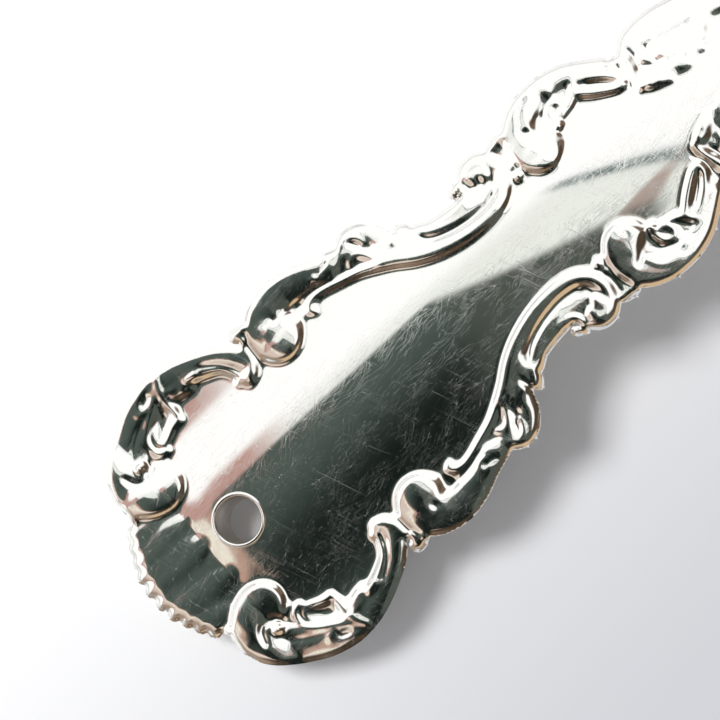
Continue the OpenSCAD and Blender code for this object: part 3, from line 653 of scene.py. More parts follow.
def round_turn(count: int) -> np.ndarray:
    """Angles of even steps once round, in radians."""
    return np.linspace(0.0, 2 * math.pi, count, endpoint=False)


@dataclass
class StampedSheet:
    """Height of the stamped handle above its seam, on a grid of handle coordinates.

    Lengths are in millimetres. A span gives the place along the handle where something starts and where it is full.
    """

    tip_thick: float = 3.4
    neck_thick: float = 7.0
    hole_r: float = 1.71
    # Grid, fine as far as the neck
    before_tip: float = 0.2
    fine_until: float = 47.6
    cell: float = 0.1
    coarse_cell: float = 0.2
    half_span: float = 11.3
    # Outline and rounded edge
    end_gap: float = 0.02
    off_grid: float = 1e-4
    spread: float = 0.36
    spread_full: float = 2.5
    spread_span: Span = (62.0, 48.0)
    pinhole_fill: float = 0.05
    inset: float = 0.0
    edge_band: float = 0.15
    edge_spare: float = 0.2
    edge_round: float = 0.45
    edge_blur: int = 5
    wall_share: float = 0.88
    tip_round: float = 0.5
    tip_fall: float = 0.18
    tip_span: Span = (3.0, 1.5)
    tuck: float = 0.35
    # Ridges, beads and grooves
    past_edge: float = 0.35
    relief: float = 0.55
    relief_blur: int = 3
    dome_most: float = 0.85
    step_w: float = 0.26
    step_most: float = 0.7
    bead_longest: float = 0.3
    bead_relief: float = 0.75
    bead_dome: float = 0.9
    gap_fill: float = 0.6
    gap_cells: int = 5
    recess_blur: int = 24
    recess_depth: float = 0.45
    # Panel, from the shell at the tip to the neck
    tip_dip: float = 0.21
    dip_span: Span = (8.4, 5.2)
    fan_end: float = 5.0
    fan_lift: float = 0.05
    fan_bend: float = 0.25
    bend_span: Span = (3.5, 7.0)
    ease_cells: int = 81
    ease_passes: int = 2
    lean: float = 0.13
    lean_ease: float = 0.5
    x: np.ndarray = field(init=False)
    y: np.ndarray = field(init=False)
    inside: np.ndarray = field(init=False)
    height: np.ndarray = field(init=False)
    recess: np.ndarray = field(init=False)

    def __post_init__(self) -> None:
        """Draws the ornament on the grid."""
        fine = np.arange(-self.before_tip, self.fine_until, self.cell)
        coarse = np.arange(self.fine_until, HANDLE_LEN + self.coarse_cell, self.coarse_cell)
        self.x = np.concatenate([fine, coarse])
        self.y = np.arange(-self.half_span, self.half_span + self.cell / 2, self.cell)
        layers = {mark: np.zeros((len(self.x), len(self.y))) for mark in Mark}
        footprint = self._draw(layers)
        far = self._from_edge(footprint) - self.inset
        if self.inset:
            footprint = np.where(footprint > 0, far, footprint - self.inset)
        outer = layers[Mark.PLATE] * (1 - np.clip(far / self.edge_round, 0.0, 1.0) ** 2)
        raised = layers[Mark.CREST] + np.maximum(layers[Mark.STEP], outer)
        raised = raised + self.gap_fill * (closed_gaps(raised, self.gap_cells) - raised)
        relief = blurred(raised - layers[Mark.GROOVE], self.relief_blur)
        self.height = self._rounded(self._panel() + self._lean() + relief, far)
        hole = np.hypot(self.x[:, None] - HOLE_FROM_TIP, self.y[None, :]) - self.hole_r
        before_end = (HANDLE_LEN - self.end_gap - self.x)[:, None]
        self.inside = np.minimum(np.minimum(footprint, before_end), hole) - self.off_grid
        self.recess = np.clip((blurred(relief, self.recess_blur) - relief) / self.recess_depth, 0.0, 1.0)

    def _draw(self, layers: dict[Mark, np.ndarray]) -> np.ndarray:
        """Draws all strokes.

        Args:
            layers: Empty heights, which are filled.

        Returns:
            The footprint: distance inside the outline, right only near it.
        """
        edge = self._spread(self.x, read_off(BODY_EDGE, self.x, before=-1.0))
        footprint = edge[:, None] - np.abs(self.y)[None, :]
        for sign in (1, -1):
            for stroke in SIDE_RIDGES:
                self._ridge(stroke, sign, layers, footprint)
            for stroke in SIDE_GROOVES:
                self._groove(stroke, sign, layers[Mark.GROOVE])
        for stroke in FAN_LOBES:
            self._ridge(stroke, -1, layers, footprint)
        return self._without_pinholes(footprint)

    def _without_pinholes(self, footprint: np.ndarray) -> np.ndarray:
        """Closes gaps between strokes that the open ground round the handle doesn't reach.

        Args:
            footprint: Distance inside the outline.

        Returns:
            The footprint with its inner gaps filled.
        """
        open_ground = footprint <= 0
        reached = np.zeros_like(open_ground)
        reached[:, 0] = reached[:, -1] = True
        while True:
            grown = reached.copy()
            for axis, step in ((0, 1), (0, -1), (1, 1), (1, -1)):
                grown |= np.roll(reached, step, axis)
            grown &= open_ground
            if (grown == reached).all():
                return np.where(open_ground & ~reached, self.pinhole_fill, footprint)
            reached = grown

    def _spread(self, along: np.ndarray, across: np.ndarray) -> np.ndarray:
        """Moves the border outwards, by less near the axis and none at the shank."""
        return across + self.spread * ramp(across, 0.0, self.spread_full) * ramp(along, *self.spread_span)

    def _patch(self, sx: float, sy: float, r: float) -> tuple[tuple[slice, slice], np.ndarray]:
        """Looks up the cells round a point.

        Args:
            sx: Place along the handle.
            sy: Place across the handle.
            r: How far the window reaches.

        Returns:
            The grid window, and each of its cells' distance from the point.
        """
        i0, i1 = np.searchsorted(self.x, (sx - r, sx + r))
        j0, j1 = np.searchsorted(self.y, (sy - r, sy + r))
        d = np.hypot(self.x[i0:i1, None] - sx, self.y[None, j0:j1] - sy)
        return (slice(i0, i1), slice(j0, j1)), d

    def _ridge(self, stroke: Stroke, sign: int, layers: dict[Mark, np.ndarray], footprint: np.ndarray) -> None:
        """Draws one ridge on its layers and on the footprint.

        Args:
            stroke: Points of along, across, half width and rise.
            sign: 1 to draw it as written, -1 on the other side of the axis.
            layers: Heights that take the higher of old and new.
            footprint: Distance inside the outline, which grows with the stroke.
        """
        is_bead = math.hypot(stroke[-1][0] - stroke[0][0], stroke[-1][1] - stroke[0][1]) < self.bead_longest
        for sx, sy, r, rise in dense(stroke):
            window, d = self._patch(sx, self._spread(sx, sy) * sign, r + self.past_edge)
            rise = rise * (self.bead_relief if is_bead else self.relief)
            dome = self.bead_dome * rise if is_bead else min(self.dome_most * rise, r * read_off(DOME_BY_WIDTH, r))
            side = np.clip((r - d) / min(self.step_w, self.step_most * r), 0.0, 1.0)
            for mark, value in ((Mark.CREST, dome * domed(d, r)),
                                (Mark.STEP, (rise - dome) * s_curve(side)),
                                (Mark.PLATE, (rise - dome) * (d < r + self.past_edge))):
                layer = layers[mark][window]
                np.maximum(layer, value, out=layer)
            part = footprint[window]
            np.maximum(part, r - d, out=part)

    def _groove(self, stroke: Stroke, sign: int, layer: np.ndarray) -> None:
        """Draws one groove on its layer.

        Args:
            stroke: Points of along, across, half width and depth.
            sign: 1 to draw it as written, -1 on the other side of the axis.
            layer: Depths that take the deeper of old and new.
        """
        for sx, sy, r, depth in dense(stroke):
            window, d = self._patch(sx, self._spread(sx, sy) * sign, r)
            part = layer[window]
            np.maximum(part, self.relief * depth * domed(d, r), out=part)

    def _crown(self) -> np.ndarray:
        """Height of the panel's middle line along the handle."""
        s = (self.x - HOLE_FROM_TIP) / (HANDLE_LEN - HOLE_FROM_TIP)
        share = np.where(s < 0, 2 * s, 1 - (1 - s) ** 2)
        dip = self.tip_dip * ramp(self.x, *self.dip_span) ** 2
        dip = dip - self.fan_lift * np.clip(self.fan_end - self.x, 0.0, None)
        return (self.tip_thick + (self.neck_thick - self.tip_thick) * share) / 2 - dip

    def _panel(self) -> np.ndarray:
        """Height of the crowned panel, which runs out level under the border."""
        radius = self._eased(CROWN_RADIUS)[:, None]
        fall = self._eased(CROWN_FALL)[:, None]
        bend = self.fan_bend + (1 - self.fan_bend) * s_curve(ramp(self.x, *self.bend_span))[:, None]
        return self._crown()[:, None] - fall * np.tanh(bend * self.y[None, :] ** 2 / (2 * radius * fall))

    def _lean(self) -> np.ndarray:
        """Rise of the border on the left side, which leans in a little at the tip and the neck."""
        past = self.y[None, :] - read_off(LEAN_FROM, self.x)[:, None]
        eased = np.where(past < self.lean_ease, np.clip(past, 0.0, self.lean_ease) ** 2, past - self.lean_ease**2)
        return self.lean * eased * read_off(LEAN_SHARE, self.x)[:, None]

    def _eased(self, line: Profile) -> np.ndarray:
        """Reads a broken line along the handle, with its corners eased.

        Args:
            line: Corners as (along, value).

        Returns:
            A value for each row of the grid.
        """
        values = read_off(line, self.x)
        window = np.ones(self.ease_cells) / self.ease_cells
        for _ in range(self.ease_passes):
            values = np.convolve(np.pad(values, self.ease_cells // 2, mode="edge"), window, mode="valid")
        return values

    def _from_edge(self, footprint: np.ndarray) -> np.ndarray:
        """Distance of each cell from the outline, held at the width of the rounded edge.

        Args:
            footprint: Distance inside the outline, right only near it.

        Returns:
            The distances.
        """
        widest = self.edge_round + self.tip_round + self.inset
        far = np.full(footprint.shape, widest)
        cells = int(math.ceil((widest + self.edge_spare) / self.cell))
        reach = cells * self.cell
        for i, j in zip(*np.nonzero((footprint > -self.edge_band) & (footprint <= 0.0))):
            i0, i1 = np.searchsorted(self.x, (self.x[i] - reach, self.x[i] + reach))
            j0, j1 = max(0, j - cells), j + cells + 1
            d = np.hypot(self.x[i0:i1, None] - self.x[i], self.y[None, j0:j1] - self.y[j]) + footprint[i, j]
            np.minimum(far[i0:i1, j0:j1], d, out=far[i0:i1, j0:j1])
        return far

    def _rounded(self, full: np.ndarray, far: np.ndarray) -> np.ndarray:
        """Rounds the sheet over along its outline.

        Args:
            full: Heights before rounding.
            far: Distance from the outline.

        Returns:
            The rounded heights.
        """
        near_tip = ramp(self.x, *self.tip_span)[:, None]
        share = np.clip(blurred(far, self.edge_blur) / (self.edge_round + self.tip_round * near_tip), 0.0, 1.0)
        return full * (1 - (1 - self.wall_share + self.tip_fall * near_tip) * (1 - share) ** 2)


@dataclass
class SheetMesher:
    """Cuts a stamped sheet along its outline and closes it down to the seam."""

    sheet: StampedSheet
    slope_blur: int = 2
    near_cells: int = 5
    tuck_share: float = 0.5
    smooth_passes: int = 8
    unfold_passes: int = 12
    unfold_share: float = 0.6
    least_left: float = 0.1
    uncross_passes: int = 8
    uncross_reach: float = 0.3
    plain_margin: float = 0.2
    points: list[tuple[float, float, float]] = field(default_factory=list)
    recess: list[float] = field(default_factory=list)
    faces: list[tuple[int, ...]] = field(default_factory=list)
    rim: list[tuple[int, int]] = field(default_factory=list)
    cuts: dict[tuple[int, int, int, int], int] = field(default_factory=dict)

    def build(self) -> tuple[np.ndarray, list[tuple[int, ...]], np.ndarray]:
        """Meshes the sheet.

        Returns:
            Points in handle coordinates, faces, and the recess value of each point.
        """
        s = self.sheet
        inside = s.inside > 0
        number = np.full(inside.shape, -1, int)
        number[inside] = np.arange(inside.sum())
        ii, jj = np.nonzero(inside)
        self.points = list(zip(s.x[ii], s.y[jj], s.height[ii, jj]))
        self.recess = list(s.recess[ii, jj])
        corners = inside[:-1, :-1].astype(int) + inside[1:, :-1] + inside[1:, 1:] + inside[:-1, 1:]
        fi, fj = np.nonzero(corners == 4)
        self.faces = list(zip(number[fi, fj].tolist(), number[fi + 1, fj].tolist(),
                              number[fi + 1, fj + 1].tolist(), number[fi, fj + 1].tolist()))
        for i, j in zip(*np.nonzero((corners > 0) & (corners < 4))):
            self._cut_cell(int(i), int(j), number)
        self._close()
        return np.array(self.points), self.faces, np.array(self.recess)

    def _cut_point(self, a: tuple[int, int], b: tuple[int, int]) -> int:
        """Finds the point where the outline crosses a grid line, once.

        Args:
            a: One grid corner.
            b: Its neighbour on the other side of the outline.

        Returns:
            The number of the point.
        """
        key = (*min(a, b), *max(a, b))
        if key not in self.cuts:
            s = self.sheet
            fa, fb = s.inside[a], s.inside[b]
            t = fa / (fa - fb)
            height, recess = ((1 - t) * g[a] + t * g[b] for g in (s.height, s.recess))
            x = (1 - t) * s.x[a[0]] + t * s.x[b[0]]
            y = (1 - t) * s.y[a[1]] + t * s.y[b[1]]
            self.cuts[key] = len(self.points)
            self.points.append((x, y, height))
            self.recess.append(recess)
        return self.cuts[key]

    def _cut_cell(self, i: int, j: int, number: np.ndarray) -> None:
        """Adds the part of one grid cell that lies inside the outline.

        Args:
            i: Row of the cell.
            j: Column of the cell.
            number: Point number of each grid corner, -1 outside.
        """
        ring = [(i, j), (i + 1, j), (i + 1, j + 1), (i, j + 1)]
        face: list[int] = []
        on_rim: list[bool] = []
        for a, b in zip(ring, ring[1:] + ring[:1]):
            if number[a] >= 0:
                face.append(int(number[a]))
                on_rim.append(False)
            if (number[a] >= 0) != (number[b] >= 0):
                face.append(self._cut_point(a, b))
                on_rim.append(number[a] >= 0)
        if len(face) > 2:
            self.faces.append(tuple(face))
            self.rim.extend((face[k], face[(k + 1) % len(face)]) for k, leaving in enumerate(on_rim) if leaving)

    def _close(self) -> None:
        """Adds the wall that tucks in from the outline to the seam, and the flat face on the seam."""
        shifts = self._tucks()
        foot = {index: len(self.points) + k for k, index in enumerate(shifts)}
        for index, shift in shifts.items():
            x, y, _ = self.points[index]
            self.points.append((x + shift.x, y + shift.y, 0.0))
            self.recess.append(0.0)
        self.faces.extend((b, a, foot[a], foot[b]) for a, b in self.rim)
        self._cap([(foot[a], foot[b]) for a, b in self.rim])

    def _tucks(self) -> dict[int, Vector]:
        """How far each point of the rim moves inwards on its way down to the seam.

        Returns:
            Moves by point number.
        """
        after = dict(self.rim)
        before = {b: a for a, b in self.rim}
        held = {index for index in after if not self._on_border(*self.points[index][:2])}
        shifts = self._inward(after, held)
        for _ in range(self.smooth_passes):
            shifts = {k: v if k in held else (shifts[before[k]] + 2 * v + shifts[after[k]]) / 4
                      for k, v in shifts.items()}
        for _ in range(self.unfold_passes):
            folded = set()
            for a, b in self.rim:
                along = Vector(self.points[b][:2]) - Vector(self.points[a][:2])
                if (along + shifts[b] - shifts[a]).dot(along) <= self.least_left * along.length_squared:
                    folded |= {a, b}
            for index in folded:
                shifts[index] = shifts[index] * self.unfold_share
        return self._uncrossed(shifts)

    def _inward(self, rim_points: Iterable[int], held: set[int]) -> dict[int, Vector]:
        """First try at the tuck, straight in from the outline and less where the sheet is narrow.

        Args:
            rim_points: Numbers of the rim's points.
            held: Numbers of those that don't move.

        Returns:
            Moves by point number.
        """
        sheet, n = self.sheet, self.near_cells
        slope_x, slope_y = np.gradient(blurred(sheet.inside, self.slope_blur), sheet.x, sheet.y)
        shifts: dict[int, Vector] = {}
        for index in rim_points:
            x, y, _ = self.points[index]
            i = min(int(np.searchsorted(sheet.x, x)), len(sheet.x) - 1)
            j = min(int(np.searchsorted(sheet.y, y)), len(sheet.y) - 1)
            thick = sheet.inside[max(0, i - n):i + n + 1, max(0, j - n):j + n + 1].max()
            reach = 0.0 if index in held else min(sheet.tuck, self.tuck_share * thick)
            shifts[index] = Vector((slope_x[i, j], slope_y[i, j])).normalized() * reach
        return shifts

    def _uncrossed(self, shifts: dict[int, Vector]) -> dict[int, Vector]:
        """Takes the tuck away where the moved outline would cross itself.

        Args:
            shifts: Moves by point number.

        Returns:
            The moves that leave an outline without crossings.
        """
        numbers = list(shifts)
        place = {index: k for k, index in enumerate(numbers)}
        edges = [(place[a], place[b]) for a, b in self.rim]
        for _ in range(self.uncross_passes):
            feet = [Vector(self.points[k][:2]) + shifts[k] for k in numbers]
            spots, _, _, sources, _, _ = delaunay_2d_cdt(feet, edges, [], INSIDE_OUTLINE, SAME_FLAT_POINT)
            crossings = [spot for spot, source in zip(spots, sources) if len(source) != 1]
            if not crossings:
                break
            for index, foot in zip(numbers, feet):
                if any((foot - spot).length < self.uncross_reach for spot in crossings):
                    shifts[index] = Vector((0.0, 0.0))
        return shifts

    def _cap(self, outline: list[tuple[int, int]]) -> None:
        """Fills the seam inside the outline and leaves the ribbon hole open.

        Args:
            outline: Point numbers at the ends of each edge.
        """
        numbers = sorted({k for edge in outline for k in edge})
        place = {index: k for k, index in enumerate(numbers)}
        flat = [Vector(self.points[index][:2]) for index in numbers]
        edges = [(place[a], place[b]) for a, b in outline]
        _, _, triangles, sources, _, _ = delaunay_2d_cdt(flat, edges, [], INSIDE_OUTLINE, SAME_FLAT_POINT)
        origin = [numbers[source[0]] for source in sources]
        walls = {frozenset(edge) for edge in outline}
        for region in self._regions([tuple(origin[k] for k in t) for t in triangles], walls):
            widest = max(region, key=self._area)
            x, y = np.mean([self.points[k][:2] for k in widest], axis=0)
            i, j = np.abs(self.sheet.x - x).argmin(), np.abs(self.sheet.y - y).argmin()
            if self.sheet.inside[i, j] > 0:
                self.faces.extend(t[::-1] for t in region)

    def _area(self, triangle: tuple[int, ...]) -> float:
        """Area of a triangle on the seam."""
        (ax, ay, _), (bx, by, _), (cx, cy, _) = (self.points[k] for k in triangle)
        return abs((bx - ax) * (cy - ay) - (by - ay) * (cx - ax)) / 2

    @staticmethod
    def _regions(triangles: list[tuple[int, ...]], walls: set[frozenset]) -> list[list[tuple[int, ...]]]:
        """Groups triangles that join without crossing the outline.

        Args:
            triangles: Corner numbers.
            walls: Edges of the outline.

        Returns:
            The triangles of each region.
        """
        beside: dict[frozenset, list[int]] = {}
        for number, t in enumerate(triangles):
            for edge in zip(t, t[1:] + t[:1]):
                beside.setdefault(frozenset(edge), []).append(number)
        regions, seen = [], set()
        for start in range(len(triangles)):
            if start in seen:
                continue
            seen.add(start)
            stack, region = [start], []
            while stack:
                t = triangles[stack.pop()]
                region.append(t)
                for edge in map(frozenset, zip(t, t[1:] + t[:1])):
                    fresh = [] if edge in walls else [n for n in beside[edge] if n not in seen]
                    seen.update(fresh)
                    stack.extend(fresh)
            regions.append(region)
        return regions

    def _on_border(self, x: float, y: float) -> bool:
        """True on the ornamented outline, False round the ribbon hole and at the ferrule."""
        by_hole = math.hypot(x - HOLE_FROM_TIP, y) < self.sheet.hole_r + self.plain_margin
        return not by_hole and x < HANDLE_LEN - self.plain_margin


def shown(mesh: bpy.types.Mesh, sharp_deg: float) -> bpy.types.Object:
    """Shades a mesh smooth and puts it in the scene under its own name.

    Args:
        mesh: The mesh.
        sharp_deg: Edges bent more than this stay sharp.

    Returns:
        The object.
    """
    mesh.shade_smooth()
    mesh.set_sharp_from_angle(angle=math.radians(sharp_deg))
    obj = bpy.data.objects.new(mesh.name, mesh)
    bpy.context.scene.collection.objects.link(obj)
    return obj


def mesh_object(name: str, points: np.ndarray, faces: Sequence[Sequence[int]],
                sharp_deg: float = 50.0) -> bpy.types.Object:
    """Makes a smooth-shaded object from points in the row frame, with its doubles merged and faces outwards.

    Args:
        name: Name of the piece.
        points: Rows of x, y and z in metres.
        faces: Corner numbers of each face.
        sharp_deg: Edges bent more than this stay sharp.

    Returns:
        The object, linked to the scene.
    """
    mesh = bpy.data.meshes.new(name)
    mesh.from_pydata(np.asarray(points).tolist(), [], [tuple(f) for f in faces])
    bm = bmesh.new()
    bm.from_mesh(mesh)
    bmesh.ops.remove_doubles(bm, verts=bm.verts, dist=SAME_MESH_POINT)
    bmesh.ops.recalc_face_normals(bm, faces=bm.faces)
    bm.to_mesh(mesh)
    bm.free()
    return shown(mesh, sharp_deg)


def mark_recess(obj: bpy.types.Object, values: np.ndarray) -> None:
    """Keeps how deep in a recess each point lies, 0 to 1, where the finish can read it."""
    layer = obj.data.attributes.new("recess", "FLOAT", "POINT")
    layer.data.foreach_set("value", values.astype(np.float32))


def fillet(profile: Profile, radius: float, steps: int = 6) -> Profile:
    """Rounds the corners of an open profile.

    Args:
        profile: Corners as (radius, along).
        radius: Largest rounding, held to just under half of each side.
        steps: Points on each rounding.

    Returns:
        The profile with its corners rounded.
    """
    most = 0.45
    out = [profile[0]]
    for before, at, after in zip(profile, profile[1:], profile[2:]):
        p, a, b = Vector(at), Vector(before), Vector(after)
        reach = min(radius, most * (a - p).length, most * (b - p).length)
        start, end = p + (a - p).normalized() * reach, p + (b - p).normalized() * reach
        for k in range(steps + 1):
            t = k / steps
            q = start * (1 - t) ** 2 + p * 2 * t * (1 - t) + end * t**2
            out.append((q.x, q.y))
    out.append(profile[-1])
    return out


def turned(profile: Profile, segments: int, closed: bool) -> Shape:
    """Turns a profile about the X axis.

    Args:
        profile: Points as (radius, along).
        segments: Steps round the axis.
        closed: True if the profile's last point joins its first.

    Returns:
        Points in millimetres and faces.
    """
    radius, along = (np.array(c, float) for c in zip(*profile))
    angle = round_turn(segments)
    ring = np.stack([np.zeros(segments), np.cos(angle), np.sin(angle)], axis=1)
    points = radius[:, None, None] * ring[None] + along[:, None, None] * np.array([1.0, 0.0, 0.0])
    rows = len(profile)
    faces = []
    for r in range(rows if closed else rows - 1):
        n = (r + 1) % rows
        for k in range(segments):
            m = (k + 1) % segments
            corners = (r * segments + k, r * segments + m, n * segments + m, n * segments + k)
            if radius[r] < ON_AXIS:
                corners = (r * segments, n * segments + m, n * segments + k)
            elif radius[n] < ON_AXIS:
                corners = (r * segments + k, r * segments + m, n * segments)
            faces.append(corners)
    return points.reshape(-1, 3), faces


def arc(centre: tuple[float, float], radius: float, start_deg: float, end_deg: float, steps: int) -> Profile:
    """Points on an arc in the (radius, along) plane.

    Args:
        centre: Centre of the arc.
        radius: Radius of the arc.
        start_deg: First angle, from the along axis's negative end towards the outside.
        end_deg: Last angle.
        steps: Number of steps.

    Returns:
        The points of the arc.
    """
    angles = np.radians(np.linspace(start_deg, end_deg, steps + 1))
    return [(centre[0] + radius * math.sin(a), centre[1] - radius * math.cos(a)) for a in angles]


def grid_faces(rows: int, columns: int) -> list[tuple[int, int, int, int]]:
    """Faces of a grid whose columns run round an axis.

    Args:
        rows: Rows of points from one end to the other.
        columns: Points round the axis.

    Returns:
        Corner numbers of each face.
    """
    return [(r * columns + k, r * columns + (k + 1) % columns, (r + 1) * columns + (k + 1) % columns,
             (r + 1) * columns + k) for r in range(rows - 1) for k in range(columns)]


def ring_tube(radius: float, wire_r: float, steps: int = 72, sides: int = 20) -> Shape:
    """A wire ring about the X axis.

    Args:
        radius: Radius of the wire's middle line.
        wire_r: Radius of the wire.
        steps: Steps round the ring.
        sides: Sides of the wire.

    Returns:
        Points in millimetres and faces.
    """
    section = [(radius + wire_r * math.cos(a), wire_r * math.sin(a)) for a in round_turn(sides)]
    return turned(section, steps, True)


def joined(*parts: Shape) -> Shape:
    """Puts several meshes in one.

    Args:
        parts: Points and faces of each.

    Returns:
        All points and all faces.
    """
    faces, start = [], 0
    for points, own in parts:
        faces.extend(tuple(k + start for k in face) for face in own)
        start += len(points)
    return np.vstack([points for points, _ in parts]), faces


def settled(obj: bpy.types.Object) -> None:
    """Turns an object's modifiers into plain mesh.

    Args:
        obj: The object, which keeps its name.
    """
    graph = bpy.context.evaluated_depsgraph_get()
    mesh = bpy.data.meshes.new_from_object(obj.evaluated_get(graph))
    obj.modifiers.clear()
    obj.data = mesh


@dataclass
class BeadRow:
    """A row of soldered beads, set on given points by Geometry Nodes."""

    bead_r: float
    subdivisions: int = 3

    def build(self, name: str, seats: np.ndarray, finish: bpy.types.Material) -> bpy.types.Object:
        """Sets the beads.

        Args:
            name: Name of the piece.
            seats: Centres of the beads in metres.
            finish: Material of the beads.

        Returns:
            The beads as one plain mesh.
        """
        obj = mesh_object(name, seats, [])
        tree = bpy.data.node_groups.new(f"{name}_row", "GeometryNodeTree")
        face = tree.interface
        face.new_socket("Geometry", in_out="INPUT", socket_type="NodeSocketGeometry")
        face.new_socket("Geometry", in_out="OUTPUT", socket_type="NodeSocketGeometry")
        radius = face.new_socket("Bead radius", in_out="INPUT", socket_type="NodeSocketFloat")
        metal = face.new_socket("Finish", in_out="INPUT", socket_type="NodeSocketMaterial")
        kinds = ("NodeGroupInput", "GeometryNodeMeshIcoSphere", "GeometryNodeSetShadeSmooth",
                 "GeometryNodeInstanceOnPoints", "GeometryNodeRealizeInstances", "GeometryNodeSetMaterial",
                 "NodeGroupOutput")
        given, ball, smooth, put, real, paint, out = (tree.nodes.new(kind) for kind in kinds)
        ball.inputs["Subdivisions"].default_value = self.subdivisions
        for a, b in ((given.outputs["Geometry"], put.inputs["Points"]),
                     (given.outputs["Bead radius"], ball.inputs["Radius"]),
                     (ball.outputs["Mesh"], smooth.inputs["Geometry"]),
                     (smooth.outputs["Geometry"], put.inputs["Instance"]),
                     (put.outputs["Instances"], real.inputs["Geometry"]),
                     (real.outputs["Geometry"], paint.inputs["Geometry"]),
                     (given.outputs["Finish"], paint.inputs["Material"]),
                     (paint.outputs["Geometry"], out.inputs["Geometry"])):
            tree.links.new(a, b)
        modifier = obj.modifiers.new("beads", "NODES")
        modifier.node_group = tree
        modifier[radius.identifier] = self.bead_r * MM
        modifier[metal.identifier] = finish
        settled(obj)
        return obj


@dataclass
class Workshop:
    """What every sub-assembly needs: the handle's frame and the finishes."""

    handle: HandleFrame
    finishes: dict[str, bpy.types.Material]

    def fit(self, obj: bpy.types.Object, slot: str, body: str, *nodes: str) -> None:
        """Gives a piece its finish, its body and the CAD nodes that it stands for.

        Args:
            obj: The piece.
            slot: The record's material slot.
            body: The CAD body that it rides on.
            nodes: The CAD nodes that it replaces.
        """
        self._dress(obj, slot)
        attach(obj, body)
        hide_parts(*nodes)
        LOG.info("%s: %d faces on %s", obj.name, len(obj.data.polygons), body)

    def keep(self, node: bpy.types.Object, slot: str) -> None:
        """Leaves a CAD node showing, with its slot's finish."""
        self._dress(node, slot)
        LOG.info("%s: CAD node with %s", node.name, slot)

    def _dress(self, obj: bpy.types.Object, slot: str) -> None:
        """Puts one finish in place of an object's materials."""
        obj.data.materials.clear()
        obj.data.materials.append(self.finishes[slot])


@dataclass
class Handle:
    """The hollow handle: two stamped shells and the eyelet that lines the ribbon hole."""

    sharp_deg: float = 75.0
    hole_d: float = 3.0
    eyelet_wall: float = 0.18
    eyelet_rim: float = 0.14
    eyelet_lip: float = 0.2
    eyelet_half_len: float = 1.9
    roll_steps: int = 12
    segments: int = 96
    bore_margin: float = 0.01

    def build(self, shop: Workshop) -> None:
        """Builds the shells and the eyelet.

        Args:
            shop: Frame and finishes.
        """
        back_sheet = StampedSheet(inset=0.35, wall_share=0.3, edge_round=1.3, tuck=0.0)
        for face, name, sheet in ((Face.FRONT, "front_shell", StampedSheet()), (Face.BACK, "back_shell", back_sheet)):
            points, faces, recess = SheetMesher(sheet).build()
            placed = shop.handle.place(points * np.array([1.0, 1.0, face.value]))
            mesh = bpy.data.meshes.new(f"{name}_stamped")
            mesh.from_pydata(placed.tolist(), [], faces if face is Face.FRONT else [f[::-1] for f in faces])
            obj = shown(mesh, self.sharp_deg)
            mark_recess(obj, recess)
            shop.fit(obj, "polished_silver", ROOT_BODY, name)
        self._eyelet(shop)

    def _eyelet(self, shop: Workshop) -> None:
        """Builds the eyelet's tube with a rolled rim at each end.

        Args:
            shop: Frame and finishes.
        """
        bore = self.hole_d / 2
        outer = bore + self.eyelet_wall
        roll = (self.eyelet_wall + self.eyelet_rim) / 2
        seat = self.eyelet_half_len - self.eyelet_lip
        top = [(bore + roll + roll * math.cos(a), seat + self.eyelet_lip * math.sin(a))
               for a in np.linspace(0.0, math.pi, self.roll_steps + 1)]
        bottom = [(r, -z) for r, z in reversed(top)]
        points, faces = turned([(outer, seat), *top, *bottom, (outer, -seat)], self.segments, True)
        upright = points[:, [1, 2, 0]] + np.array([HOLE_FROM_TIP, 0.0, 0.0])
        obj = mesh_object("ribbon_eyelet_rolled", shop.handle.place(upright), faces)
        # The bore's inside is marked as a recess so that its finish darkens it: painted shade inside the ribbon hole.
        mark_recess(obj, np.hypot(points[:, 1], points[:, 2]) < bore + self.bore_margin)
        shop.fit(obj, "eyelet_silver", ROOT_BODY, "ribbon_eyelet")


